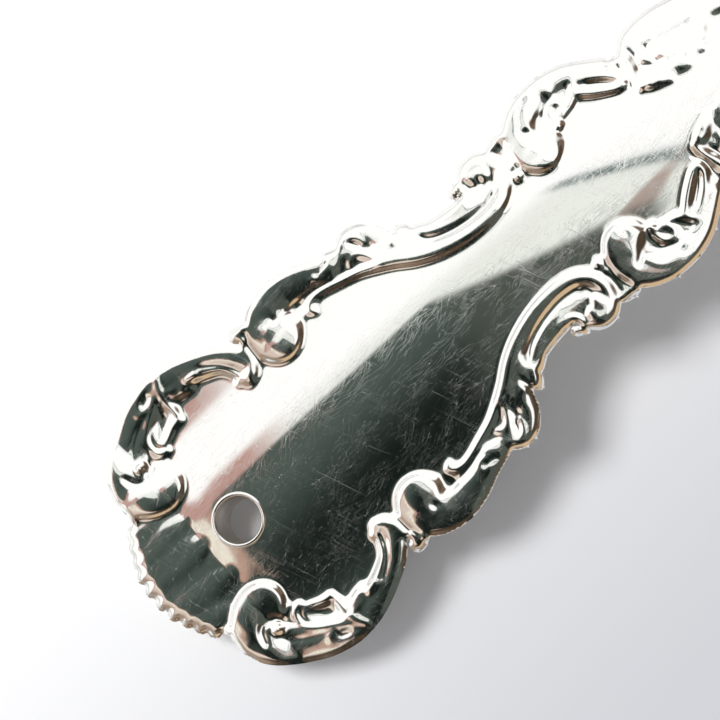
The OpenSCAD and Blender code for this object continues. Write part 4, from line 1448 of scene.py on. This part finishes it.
@dataclass
class Ferrule:
    """The turned collar between the handle and the head, with its sizes as (radius, along)."""

    bore_r: float = 1.52
    flange: Span = (4.6, 0.7)
    flange_steps: int = 16
    cove: tuple[Span, ...] = ((4.25, 1.4), (4.1, 1.68), (3.45, 1.8))
    cove_round: float = 0.2
    waist_r: float = 3.0
    waist_ends: tuple[Span, Span] = ((2.2, 2.44), (4.86, 5.5))
    ring_at: float = 3.64
    ring_r: float = 1.2
    ring_from_deg: float = 4.0
    ring_steps: int = 24
    flare: Span = (3.2, 6.05)
    step: Span = (3.6, 6.3)
    step_round: float = 0.18
    length: float = 7.0
    clear: float = 0.01
    segments: int = 144
    twists: int = 40
    twist_depth: float = 0.06
    twist_slope: float = 2.6
    sharp_deg: float = 70.0

    def build(self, shop: Workshop) -> None:
        """Builds the collar, with a roped ring round its waist.

        Args:
            shop: Frame and finishes.
        """
        edge_r, half = self.flange
        end = self.length - self.clear
        lower, upper = ([(self.waist_r, along) for along in ends] for ends in self.waist_ends)
        profile = [(self.bore_r, self.clear), *arc(self.flange, half, 0.0, 180.0, self.flange_steps)]
        profile += fillet([(edge_r, 2 * half), *self.cove, *lower], self.cove_round)[1:]
        rope = slice(len(profile), len(profile) + self.ring_steps + 1)
        profile += arc((self.waist_r, self.ring_at), self.ring_r, self.ring_from_deg, 180.0 - self.ring_from_deg,
                       self.ring_steps)
        profile += fillet([*upper, self.flare, self.step, (self.step[0], end), (self.bore_r, end)], self.step_round)
        points, faces = turned(profile, self.segments, True)
        rows = points.reshape(len(profile), self.segments, 3)
        belt = rows[rope]
        angle = np.arctan2(belt[..., 2], belt[..., 1])
        lift = np.sin(np.linspace(0.0, math.pi, belt.shape[0]))[:, None]
        wave = np.cos(self.twists * angle + self.twist_slope * (belt[..., 0] - self.ring_at)) - 1.0
        belt[..., 1:] *= 1 + (self.twist_depth * lift * wave / np.linalg.norm(belt[..., 1:], axis=2))[..., None]
        points = rows.reshape(-1, 3) + np.array([HANDLE_LEN, 0.0, 0.0])
        obj = mesh_object("neck_ferrule_turned", shop.handle.place(points), faces, self.sharp_deg)
        shop.fit(obj, "polished_silver", ROOT_BODY, "neck_ferrule")


@dataclass
class Head:
    """The rattle's head: leafy calyx, hollow ball, beaded girdle and knop, all about the handle's axis."""

    columns: int = 288
    # Ball, with its bright-cut rings, festoon and petals
    ball_r: float = 14.0
    ball_wall: float = 0.6
    cup_rows: int = 181
    cup_inner_rows: int = 31
    rings_deg: tuple[float, ...] = (76.5, 80.0)
    ring_cut: float = 0.09
    festoon_deg: float = 72.0
    festoon_rise_deg: float = 9.0
    festoon_cut: float = 0.1
    echo_gap_deg: float = 3.0
    echo_cut: float = 0.07
    petals: int = 16
    petals_deg: float = 20.0
    petal_cut: float = 0.12
    # Inside of all that is set over the ball
    over_ball_r: float = 14.02
    # Calyx
    calyx_r: float = 14.9
    calyx_most_r: float = 15.02
    calyx_edge_deg: float = 42.0
    calyx_rows: int = 72
    over_ball_rows: int = 24
    leaves: int = 12
    leaf_cut_deg: float = 5.46
    rib_rise: float = 0.1
    gap_depth: float = 0.16
    vein_depth: float = 0.05
    veins: int = 7
    vein_slope: float = 1.6
    lip_rise: float = 0.1
    seat_r: float = 3.0
    seat_at: float = 15.0
    seat_rows: int = 5
    # Girdle
    girdle_top: float = 14.9
    girdle_half: float = 1.4
    girdle_low: float = 13.95
    girdle_segments: int = 192
    wire_at: Span = (14.0, 1.1)
    wire_size: Span = (0.45, 0.3)
    channel_foot: Span = (14.14, 0.72)
    pad_r: float = 1.0
    pad_low: float = 13.9
    pad_segments: int = 40
    beads: int = 84
    bead_r: float = 0.5
    clear: float = 0.02
    # Knop
    knop_at: float = 17.2
    knop_r: float = 2.0
    knop_foot_r: float = 2.48
    knop_steps: int = 40
    knop_segments: int = 144
    flutes: int = 12
    flute_depth: float = 0.035
    knop_beads: int = 30
    knop_bead_r: float = 0.18
    knop_bead_ring: Span = (2.3, 14.5)
    knop_sharp_deg: float = 60.0

    def build(self, shop: Workshop) -> None:
        """Builds all of the head.

        Args:
            shop: Frame and finishes.
        """
        self._calyx(shop)
        self._cup(shop, -1, "lower_cup")
        self._cup(shop, 1, "upper_cup")
        self._girdle(shop)
        self._knop(shop)

    def _placed(self, shop: Workshop, points: np.ndarray) -> np.ndarray:
        """Moves points from the head's centre to the row frame."""
        return shop.handle.place(points + np.array([HEAD_AT, 0.0, 0.0]))

    def _ball_points(self, polar: np.ndarray, radius: np.ndarray, pole: int) -> np.ndarray:
        """Points about the head's centre.

        Args:
            polar: Angle from the pole, by row and column.
            radius: Distance from the centre, by row and column.
            pole: 1 for the top of the ball, -1 for the handle's side.

        Returns:
            Rows of x, y and z in millimetres.
        """
        turn = round_turn(self.columns)[None, :]
        points = np.stack([pole * radius * np.cos(polar), radius * np.sin(polar) * np.cos(turn),
                           radius * np.sin(polar) * np.sin(turn)], axis=-1)
        return points.reshape(-1, 3)

    def _bead_ring(self, shop: Workshop, name: str, row: BeadRow, ring: Span, turn: np.ndarray, slot: str,
                   node: str) -> None:
        """Sets a ring of beads about the handle's axis.

        Args:
            shop: Frame and finishes.
            name: Name of the piece.
            row: The beads.
            ring: Radius of the ring and its place from the head's centre.
            turn: Angle of each bead.
            slot: The record's material slot.
            node: The CAD node that the beads stand for.
        """
        radius, along = ring
        seats = np.stack([np.full(len(turn), along), radius * np.cos(turn), radius * np.sin(turn)], axis=1)
        shop.fit(row.build(name, self._placed(shop, seats), shop.finishes[slot]), slot, ROOT_BODY, node)

    def _calyx(self, shop: Workshop) -> None:
        """Builds the cup of leaves that seats the ball.

        Args:
            shop: Frame and finishes.
        """
        across = 2 * (np.linspace(0.0, self.leaves, self.columns, endpoint=False) % 1.0) - 1.0
        off = np.abs(across)
        edge = np.radians(self.calyx_edge_deg - self.leaf_cut_deg * off**2.2)[None, :]
        start = math.asin(self.seat_r / self.calyx_r)
        along = np.linspace(0.0, 1.0, self.calyx_rows)[:, None]
        polar = start + (edge - start) * along
        rib = self.rib_rise * near(across, 0.1) * (1 - along**3)
        gap = self.gap_depth * near(off - 1, 0.09) * np.minimum(1, 3 * along)
        vein = self.vein_depth * (0.5 - 0.5 * np.cos(2 * math.pi * (self.veins * along - self.vein_slope * off)))
        vein = vein * np.clip(off * 4, 0, 1) * np.clip(1.4 - off, 0, 1)
        lip = self.lip_rise * ramp(along, 0.9, 0.96) * np.sqrt(ramp(along, 1.0, 0.96))
        outer = np.minimum(self.calyx_r + rib - gap - vein + lip, self.calyx_most_r)
        seat = np.linspace(0.0, math.atan2(self.seat_r, self.seat_at), self.seat_rows)[:, None]
        disc = seat * np.ones((1, self.columns))
        inner = edge * np.linspace(1.0, 0.0, self.over_ball_rows)[:, None]
        radius = np.vstack([self.seat_at / np.cos(disc), outer, np.full(inner.shape, self.over_ball_r)])
        points = self._ball_points(np.vstack([disc, polar, inner]), radius, -1)
        obj = mesh_object("calyx_cup_leaves", self._placed(shop, points), grid_faces(len(radius), self.columns))
        shop.fit(obj, "polished_silver", ROOT_BODY, "calyx_cup")

    def _cup(self, shop: Workshop, pole: int, node: str) -> None:
        """Builds half of the ball, with bright-cut rings and a running festoon.

        Args:
            shop: Frame and finishes.
            pole: 1 for the half with the knop, -1 for the half in the calyx.
            node: The CAD node that it stands for.
        """
        turn = round_turn(self.columns)[None, :]
        degrees = np.linspace(0.0, 90.0, self.cup_rows)[:, None] * np.ones((1, self.columns))
        festoon = self.festoon_deg - self.festoon_rise_deg * np.abs(np.sin(6 * turn)) ** 0.8
        cut = sum(self.ring_cut * near(degrees - ring, 0.45) for ring in self.rings_deg)
        cut = cut + self.festoon_cut * near(degrees - festoon, 0.6)
        cut = cut + self.echo_cut * near(degrees - festoon + self.echo_gap_deg, 0.5)
        if pole > 0:
            petals = (0.5 + 0.5 * np.cos(self.petals * turn)) ** 3
            cut = cut + self.petal_cut * near(degrees - self.petals_deg, 5.0) * petals
        inner = np.linspace(90.0, 0.0, self.cup_inner_rows)[:, None] * np.ones((1, self.columns))
        radius = np.vstack([self.ball_r - cut, np.full(inner.shape, self.ball_r - self.ball_wall)])
        points = self._ball_points(np.radians(np.vstack([degrees, inner])), radius, pole)
        obj = mesh_object(f"{node}_spun", self._placed(shop, points), grid_faces(len(radius), self.columns))
        shop.fit(obj, "polished_silver", ROOT_BODY, node)

    def _girdle(self, shop: Workshop) -> None:
        """Builds the band over the ball's seam: channel, side wires, beads and a pad under each bell eye.

        Args:
            shop: Frame and finishes.
        """
        wire = [(self.wire_at[0] + self.wire_size[0] * math.sin(a), self.wire_at[1] + self.wire_size[1] * math.cos(a))
                for a in np.linspace(0.1, math.pi - 0.2, 12)]
        side = [(self.girdle_low, self.girdle_half), *wire, self.channel_foot]
        channel = [(self.over_ball_r, 0.0), *side, *[(r, -x) for r, x in reversed(side)]]
        top = self.girdle_top - self.clear
        pad = fillet([(0.0, self.pad_low), (self.pad_r, self.pad_low), (self.pad_r, 14.6), (0.8, top), (0.0, top)], 0.2)
        points, faces = turned(pad, self.pad_segments, False)
        pads = [(points[:, [1, 0, 2]] * np.array([1, hung.value, 1]), faces) for hung in Side]
        points, faces = joined(turned(channel, self.girdle_segments, True), *pads)
        obj = mesh_object("girdle_band_channel", self._placed(shop, points), faces)
        shop.fit(obj, "band_silver", ROOT_BODY, "girdle_band")
        turn = (np.arange(self.beads) + 0.5) * 2 * math.pi / self.beads
        turn = turn[np.abs(np.cos(turn)) < math.cos(self.pad_r / self.ball_r)]
        self._bead_ring(shop, "girdle_beads", BeadRow(self.bead_r), (top - self.bead_r, 0.0), turn, "band_silver",
                        "girdle_band")

    def _knop(self, shop: Workshop) -> None:
        """Builds the turned knop with its fluted ball and a row of fine beads round its foot.

        Args:
            shop: Frame and finishes.
        """
        foot = math.sqrt(self.over_ball_r**2 - self.knop_foot_r**2)
        ball = arc((0.0, self.knop_at), self.knop_r, 38.0, 180.0, self.knop_steps)
        stem = fillet([(self.knop_foot_r, foot), (self.knop_foot_r, 14.5), (2.2, 14.72), (1.7, 14.75), (1.5, 15.05),
                       (1.2, 15.2), (1.2, 15.55)], 0.12)
        profile = [(0.0, self.over_ball_r), (1.3, 13.96), *stem, *ball]
        points, faces = turned(profile, self.knop_segments, False)
        rows = points.reshape(len(profile), self.knop_segments, 3)
        lift = np.sin(np.linspace(0.0, math.pi, len(ball)))[:, None] ** 1.5
        flutes = 0.5 - 0.5 * np.cos(self.flutes * round_turn(self.knop_segments))
        rows[-len(ball):, :, 1:] *= 1 - (self.flute_depth * lift * flutes)[..., None]
        obj = mesh_object("crown_knop_turned", self._placed(shop, rows.reshape(-1, 3)), faces, self.knop_sharp_deg)
        shop.fit(obj, "polished_silver", ROOT_BODY, "crown_knop")
        self._bead_ring(shop, "knop_beads", BeadRow(self.knop_bead_r, 2), self.knop_bead_ring,
                        round_turn(self.knop_beads), "polished_silver", "crown_knop")


@dataclass
class Bell:
    """One crotal bell with its eye on the girdle, its jump ring and its loop."""

    side: Side
    eye_y: float = 17.4
    wire_r: float = 0.4
    eye_r: float = 1.1
    eye_post: float = 1.0
    post_r: float = 0.38
    post_segments: int = 32
    ring_r: float = 1.7
    loop_drop: float = 3.4
    loop_post: float = 0.25
    bell_drop: float = 9.15
    bell_r: float = 4.0
    bell_wall: float = 0.45
    rim_r: float = 4.35
    rim_from_deg: float = 83.0
    rings_deg: tuple[float, ...] = (58.0, 63.0)
    ring_cut: float = 0.07
    clear: float = 0.01
    slot_w: float = 0.9
    slot_hole_r: float = 0.7
    slot_end_z: float = -1.4
    slot_steps: int = 40
    slot_sharp_deg: float = 35.0
    segments: int = 128
    sharp_deg: float = 55.0

    def build(self, shop: Workshop) -> None:
        """Builds the wire parts and the two halves of the bell.

        Args:
            shop: Frame and finishes.
        """
        name = self.side.name.lower()
        head = shop.handle.place(np.array([[HEAD_AT, 0.0, 0.0]]))[0] / MM
        eye = head + [0.0, self.side.value * self.eye_y, 0.0]
        points, faces = self._eye(self.eye_post)
        flat = points[:, [0, 2, 1]] * np.array([1, self.side.value, 1])
        self._wire(shop, f"{name}_bell_eye", flat + eye, faces, ROOT_BODY)
        points, faces = ring_tube(self.ring_r, self.wire_r)
        hung = points[:, [1, 0, 2]] + eye - [0.0, 0.0, self.ring_r]
        self._wire(shop, f"{name}_jump_ring", hung, faces, f"{name}_ring")
        points, faces = self._eye(self.loop_post)
        self._wire(shop, f"{name}_bell_loop", points + eye - [0.0, 0.0, self.loop_drop], faces, f"{name}_bell")
        centre = eye - [0.0, 0.0, self.bell_drop]
        for half, node in ((1, f"{name}_bell_cap"), (-1, f"{name}_bell_base")):
            points, faces = turned(self._half_profile(half), self.segments, False)
            obj = mesh_object(f"{node}_spun", (points[:, [1, 2, 0]] + centre) * MM, faces, self.sharp_deg)
            if half < 0:
                self._saw_slot(obj, centre)
            shop.fit(obj, "bell_silver", f"{name}_bell", node)

    def _wire(self, shop: Workshop, node: str, points: np.ndarray, faces: list, body: str) -> None:
        """Makes one wire part from points in millimetres."""
        shop.fit(mesh_object(f"{node}_drawn", points * MM, faces), "silver_wire", body, node)

    def _eye(self, post: float) -> Shape:
        """Shapes an eye of wire about the X axis, with its post below and a soldered foot.

        Args:
            post: Length of the post.

        Returns:
            Points in millimetres and faces.
        """
        out = self.eye_r + self.wire_r
        foot, head = -out - post, -out + 0.3
        profile = fillet([(0.0, foot), (0.62, foot), (0.55, foot + 0.12), (self.post_r, foot + 0.3),
                          (self.post_r, head), (0.0, head)], 0.08)
        points, faces = turned(profile, self.post_segments, False)
        return joined(ring_tube(self.eye_r, self.wire_r), (points[:, [1, 2, 0]], faces))

    def _half_profile(self, half: int) -> Profile:
        """Draws the section of half of the bell, from its outer pole over the rim to its inner pole.

        Args:
            half: 1 for the cap, -1 for the base.

        Returns:
            Points as (radius, along).
        """
        inner_r, rim_t = self.bell_r - self.bell_wall, self.bell_wall
        degrees = np.linspace(0.0, self.rim_from_deg, 84)
        radius = self.bell_r - sum(self.ring_cut * near(degrees - ring, 1.2) for ring in self.rings_deg)
        outer = [(r * math.sin(a), r * math.cos(a)) for r, a in zip(radius, np.radians(degrees))]
        rim = fillet([outer[-1], (self.rim_r - 0.12, rim_t), (self.rim_r, rim_t * 0.6), (self.rim_r, self.clear),
                      (inner_r, self.clear)], 0.1)
        inner = [(inner_r * math.sin(a), inner_r * math.cos(a)) for a in np.radians(np.linspace(89.0, 0.0, 40))]
        return [(max(r, 0.0), half * z) for r, z in (*outer[:-1], *rim, *inner)]

    def _saw_slot(self, obj: bpy.types.Object, centre: np.ndarray) -> None:
        """Saws the sounding slot, with a round hole at each end.

        Args:
            obj: The bell's base.
            centre: Centre of the bell in millimetres.
        """
        reach, half = 2 * self.bell_r, self.slot_w / 2
        flank = math.asin(half / self.slot_hole_r)
        outline = [(-half, -reach), (half, -reach)]
        outline += [(self.slot_hole_r * math.sin(a), self.slot_end_z - self.slot_hole_r * math.cos(a))
                    for a in np.linspace(flank, 2 * math.pi - flank, self.slot_steps)]
        count = len(outline)
        points = np.array([(x, y, z) for x in (-reach, reach) for y, z in outline]) + centre
        faces = [tuple(range(count)), tuple(range(2 * count - 1, count - 1, -1))]
        faces += [(k, (k + 1) % count, (k + 1) % count + count, k + count) for k in range(count)]
        cutter = mesh_object("slot_saw", points * MM, faces)
        saw = obj.modifiers.new("slot", "BOOLEAN")
        saw.operation, saw.solver, saw.object = "DIFFERENCE", "EXACT", cutter
        settled(obj)
        obj.data.set_sharp_from_angle(angle=math.radians(self.slot_sharp_deg))
        bpy.data.objects.remove(cutter)


class Screens:
    """The screens that the silver mirrors: white, with a dark screen and brown sides.

    All places are in millimetres on the ceiling.
    """

    WHITE: Colour = (1.1, 1.1, 1.1)
    DARK_UNTIL_Y: Span = (71.0, 75.5)

    def __init__(self, tree: NodeBench) -> None:
        """Reads the place on the ceiling, and the same with a wavering edge.

        Args:
            tree: Bench of the ceiling's material.
        """
        in_mm = tree.in_mm()
        wander = tree.math("SUBTRACT", tree.noise(in_mm, 0.02, 1.0), 0.5)
        self.tree = tree
        self.x, self.y = tree.axis(in_mm, "X"), tree.axis(in_mm, "Y")
        self.edge_y = tree.math("ADD", self.y, tree.product(wander, 9.0))

    def colour(self) -> bpy.types.NodeSocket:
        """Colour of all screens, each laid over the ones before it."""
        tree, x, y, edge_y = self.tree, self.x, self.y, self.edge_y
        slant = tree.weighed((x, 93.0, 0.943), (y, -60.0, 0.33))
        layers = (
            # Brown sides, low on the picture's right and lower right
            (tree.product(tree.above(x, 40.0, 110.0), tree.below(y, 20.0, 90.0)), (0.17, 0.115, 0.08)),
            (tree.below(y, -150.0, -85.0), (0.07, 0.05, 0.032)),
            # Warm patch low on the neck
            (self._patch((-61.0, -34.0), (10.0, 14.0)), (0.36, 0.23, 0.19)),
            # Warm fringe, then the dark screen
            (tree.product(tree.below(edge_y, 86.0, 96.0), tree.below(x, -138.0, -126.0)), (0.52, 0.31, 0.27)),
            (tree.product(tree.below(slant, -1.5, 2.0), tree.below(edge_y, *self.DARK_UNTIL_Y)), self._dark()),
            # Past the dark screen towards the tip
            (tree.product(tree.below(x, -180.0, -168.0), tree.below(edge_y, *self.DARK_UNTIL_Y)), self._warm()),
            # Lower still: dark brown, with a bright warm sill at the lower right
            (tree.product(tree.below(x, -520.0, -230.0), tree.below(edge_y, 60.0, 120.0)), (0.36, 0.26, 0.19)),
            (tree.below(y, -420.0, -200.0), (0.11, 0.07, 0.042)),
            (tree.below(y, -480.0, -410.0), (0.66, 0.48, 0.3)),
        )
        colour = self._pale()
        for share, tint in layers:
            colour = tree.mix_colour(share, colour, tint)
        return colour

    def _patch(self, centre: Span, size: Span) -> bpy.types.NodeSocket:
        """Draws a soft oval patch.

        Args:
            centre: Its centre.
            size: Its half sizes.

        Returns:
            The share of the patch's colour.
        """
        tree = self.tree
        off = [tree.math("POWER", tree.product(tree.math("SUBTRACT", axis, middle), 1 / half), 2.0)
               for axis, middle, half in zip((self.x, self.y), centre, size)]
        return tree.map_range(tree.math("ADD", *off), 0.4, 1.2, 0.8, 0.0)

    def _pale(self) -> bpy.types.NodeSocket:
        """Pale neck zone with one thin grey line, then the white beyond it."""
        tree = self.tree
        frame = tree.weighed((self.x, 69.0, 0.985), (self.y, -69.0, 0.171))
        line = tree.product(tree.above(frame, -0.9, 0.0), tree.below(frame, 1.6, 2.8))
        pale = tree.mix_colour(tree.above(frame, 0.5, 3.0), (0.89, 0.92, 0.88), self.WHITE)
        pale = tree.mix_colour(line, pale, (0.12, 0.17, 0.17))
        return tree.mix_colour(tree.above(self.y, 70.0, 95.0), pale, self.WHITE)

    def _dark(self) -> bpy.types.NodeSocket:
        """Dark screen, deepest on its low side and lighter towards the neck."""
        tree = self.tree
        past = tree.math("MINIMUM", tree.math("ADD", self.x, 115.0), 0.0)
        low = tree.math("SUBTRACT", self.y, tree.product(past, 0.4))
        depth = tree.mix_colour(tree.above(low, -20.0, 60.0), (0.009, 0.014, 0.0115), (0.08, 0.105, 0.092))
        return tree.mix_colour(tree.map_range(self.x, -100.0, -88.0, 0.0, 0.9), depth, (0.08, 0.095, 0.08))

    def _warm(self) -> bpy.types.NodeSocket:
        """Warm strip, then cream, darker at the far end and low down."""
        tree = self.tree
        warm = tree.mix_colour(tree.below(self.x, -196.0, -184.0), (0.5, 0.31, 0.24), (0.88, 0.83, 0.72))
        warm = tree.mix_colour(tree.below(self.x, -235.0, -205.0), warm, (0.7, 0.58, 0.51))
        return tree.mix_colour(tree.below(self.y, -120.0, -50.0), warm, (0.05, 0.035, 0.022))


@dataclass
class Studio:
    """Pale floor, soft light and the camera at the photograph's angle."""

    floor_half: float = 1.5
    floor_drop: float = 0.0001
    ceiling_half: float = 1.2
    ceiling_at: float = 0.2
    lamp_at: tuple[float, float, float] = (-0.2, 0.17, 0.48)
    lamp_size: float = 0.17
    lamp_energy: float = 2.15
    image_angle_deg: float = 41.35
    lean_deg: float = 11.1
    distance_mm: float = 220.0
    frame_width_mm: float = 45.75
    sensor_mm: float = 36.0
    clip_start: float = 0.005
    aim: tuple[float, float, float] = (20.88, 2.08, 2.6)

    def build(self, shop: Workshop) -> None:
        """Builds the floor, the light and the camera.

        Args:
            shop: Frame and finishes.
        """
        self._floor()
        self._world()
        self._ceiling()
        self._lamp()
        self._camera(shop.handle)

    def _square(self, name: str, half: float, height: float) -> bpy.types.Object:
        """Makes a level square that isn't part of the rattle.

        Args:
            name: Name of the square.
            half: Half of its side.
            height: Its height.

        Returns:
            The square.
        """
        corners = [(-half, -half, height), (half, -half, height), (half, half, height), (-half, half, height)]
        obj = mesh_object(name, np.array(corners), [(0, 1, 2, 3)])
        return obj

    def _floor(self) -> None:
        """Lays a pale matt floor under the rattle, with painted shade that greys it on the picture's lower right in
        place of the lamp's falloff.
        """
        obj = self._square("floor", self.floor_half, -self.floor_drop)
        mat, tree, shader = NodeBench.principled("pale_paper")
        # Painted shade: the floor's colour darkens towards -Y to stand in for the lamp's falloff.
        painted_falloff_share = tree.below(tree.axis(tree.coords(), "Y"), -0.03, 0.012)
        tree.link(tree.mix_colour(painted_falloff_share, (0.93, 0.93, 0.93), (0.63, 0.64, 0.67)), shader.inputs["Base Color"])
        shader.inputs["Roughness"].default_value = 0.9
        shader.inputs["Specular IOR Level"].default_value = 0.1
        obj.data.materials.append(mat)

    def _world(self) -> None:
        """Lights the studio evenly, with a warm horizon on one side and a bright one on the other."""
        world = bpy.data.worlds.new("soft_studio")
        bpy.context.scene.world = world
        world.use_nodes = True
        tree = NodeBench(world.node_tree)
        background = tree.nodes["Background"]
        way = tree.coords("Generated")
        horizon = tree.mix_colour(tree.above(tree.axis(way, "Y"), -0.1, 0.3), (0.3, 0.22, 0.15), (0.9, 0.9, 0.9))
        sky = tree.mix_colour(tree.above(tree.axis(way, "Z"), 0.0, 0.22), horizon, (0.42, 0.42, 0.43))
        tree.link(sky, background.inputs["Color"])
        background.inputs["Strength"].default_value = 1.0

    def _ceiling(self) -> None:
        """Hangs the screens that the silver mirrors.

        Only glossy rays see them, so they cast no shadow and light nothing.
        """
        obj = self._square("reflector", self.ceiling_half, self.ceiling_at)
        for ray in ("camera", "diffuse", "transmission", "volume_scatter", "shadow"):
            setattr(obj, f"visible_{ray}", False)
        mat, tree, _ = NodeBench.principled("screens")
        tree.nodes.clear()
        glow = tree.add("Emission", "Emission", {"Color": Screens(tree).colour()})
        tree.link(glow, tree.nodes.new("ShaderNodeOutputMaterial").inputs["Surface"])
        obj.data.materials.append(mat)

    def _lamp(self) -> None:
        """Adds one soft lamp on the upper left of the picture, which the silver doesn't mirror."""
        light = bpy.data.lights.new("window", "AREA")
        light.shape = "RECTANGLE"
        light.size = light.size_y = self.lamp_size
        light.energy = self.lamp_energy
        obj = bpy.data.objects.new("window", light)
        obj.location = self.lamp_at
        obj.visible_glossy = False
        obj.rotation_euler = (-Vector(self.lamp_at)).to_track_quat("-Z", "Y").to_euler()
        bpy.context.scene.collection.objects.link(obj)

    def _camera(self, handle: HandleFrame) -> None:
        """Sets the camera over the tip of the handle, as in the photograph.

        Args:
            handle: Frame of the handle.
        """
        lean, turn = math.radians(self.lean_deg), math.radians(self.image_angle_deg)
        out = Vector((0.0, -math.sin(lean), math.cos(lean)))
        along = Vector((1.0, 0.0, 0.0))
        across = out.cross(along)
        right = along * math.cos(turn) - across * math.sin(turn)
        up = along * math.sin(turn) + across * math.cos(turn)
        aim = Vector(handle.place(np.array([self.aim]))[0])
        data = bpy.data.cameras.new("camera")
        data.sensor_width = self.sensor_mm
        data.lens = self.sensor_mm * self.distance_mm / self.frame_width_mm
        data.clip_start = self.clip_start
        camera = bpy.data.objects.new("camera", data)
        turn_matrix = Matrix((right, up, out)).transposed().to_4x4()
        camera.matrix_world = Matrix.Translation(aim + out * self.distance_mm * MM) @ turn_matrix
        bpy.context.scene.collection.objects.link(camera)
        bpy.context.scene.camera = camera


def finishes() -> dict[str, bpy.types.Material]:
    """Makes the finish of every slot in the record.

    Returns:
        Materials by slot.
    """
    kinds = (
        SilverFinish("polished_silver", (0.93, 0.92, 0.89)),
        # The eyelet's strong darkening of its bore is painted shade; its tarnish colour is mixed in there far more than
        # on the shells.
        SilverFinish("eyelet_silver", (0.95, 0.94, 0.92), roughness=0.04, tarnish_and_shade=0.65, recess_dullness=0.9),
        SilverFinish("band_silver", (0.92, 0.91, 0.88), roughness=0.06),
        SilverFinish("bell_silver", (0.93, 0.92, 0.89)),
        SilverFinish("silver_wire", (0.9, 0.89, 0.86), roughness=0.09),
        SteelFinish("tang_steel", (0.55, 0.55, 0.56), roughness=0.3, grain_per_mm=6.0),
        SteelFinish("pellet_steel", (0.6, 0.6, 0.61), roughness=0.25, grain_per_mm=4.0),
    )
    return {kind.name: kind.material() for kind in kinds}


def main() -> None:
    """Loads the frame and dresses it."""
    logging.basicConfig(level=logging.INFO, format="%(message)s")
    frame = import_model()
    bpy.context.scene.view_settings.view_transform = "Standard"
    shop = Workshop(HandleFrame.from_record(frame["record"]), finishes())
    Studio().build(shop)
    for assembly in (Handle(), Ferrule(), Head(), Bell(Side.LEFT), Bell(Side.RIGHT)):
        assembly.build(shop)
    for name, node in frame["nodes"].items():
        if not node.hide_render:
            shop.keep(node, "tang_steel" if name == "head_tang" else "pellet_steel")


if __name__ == "__main__":
    main()
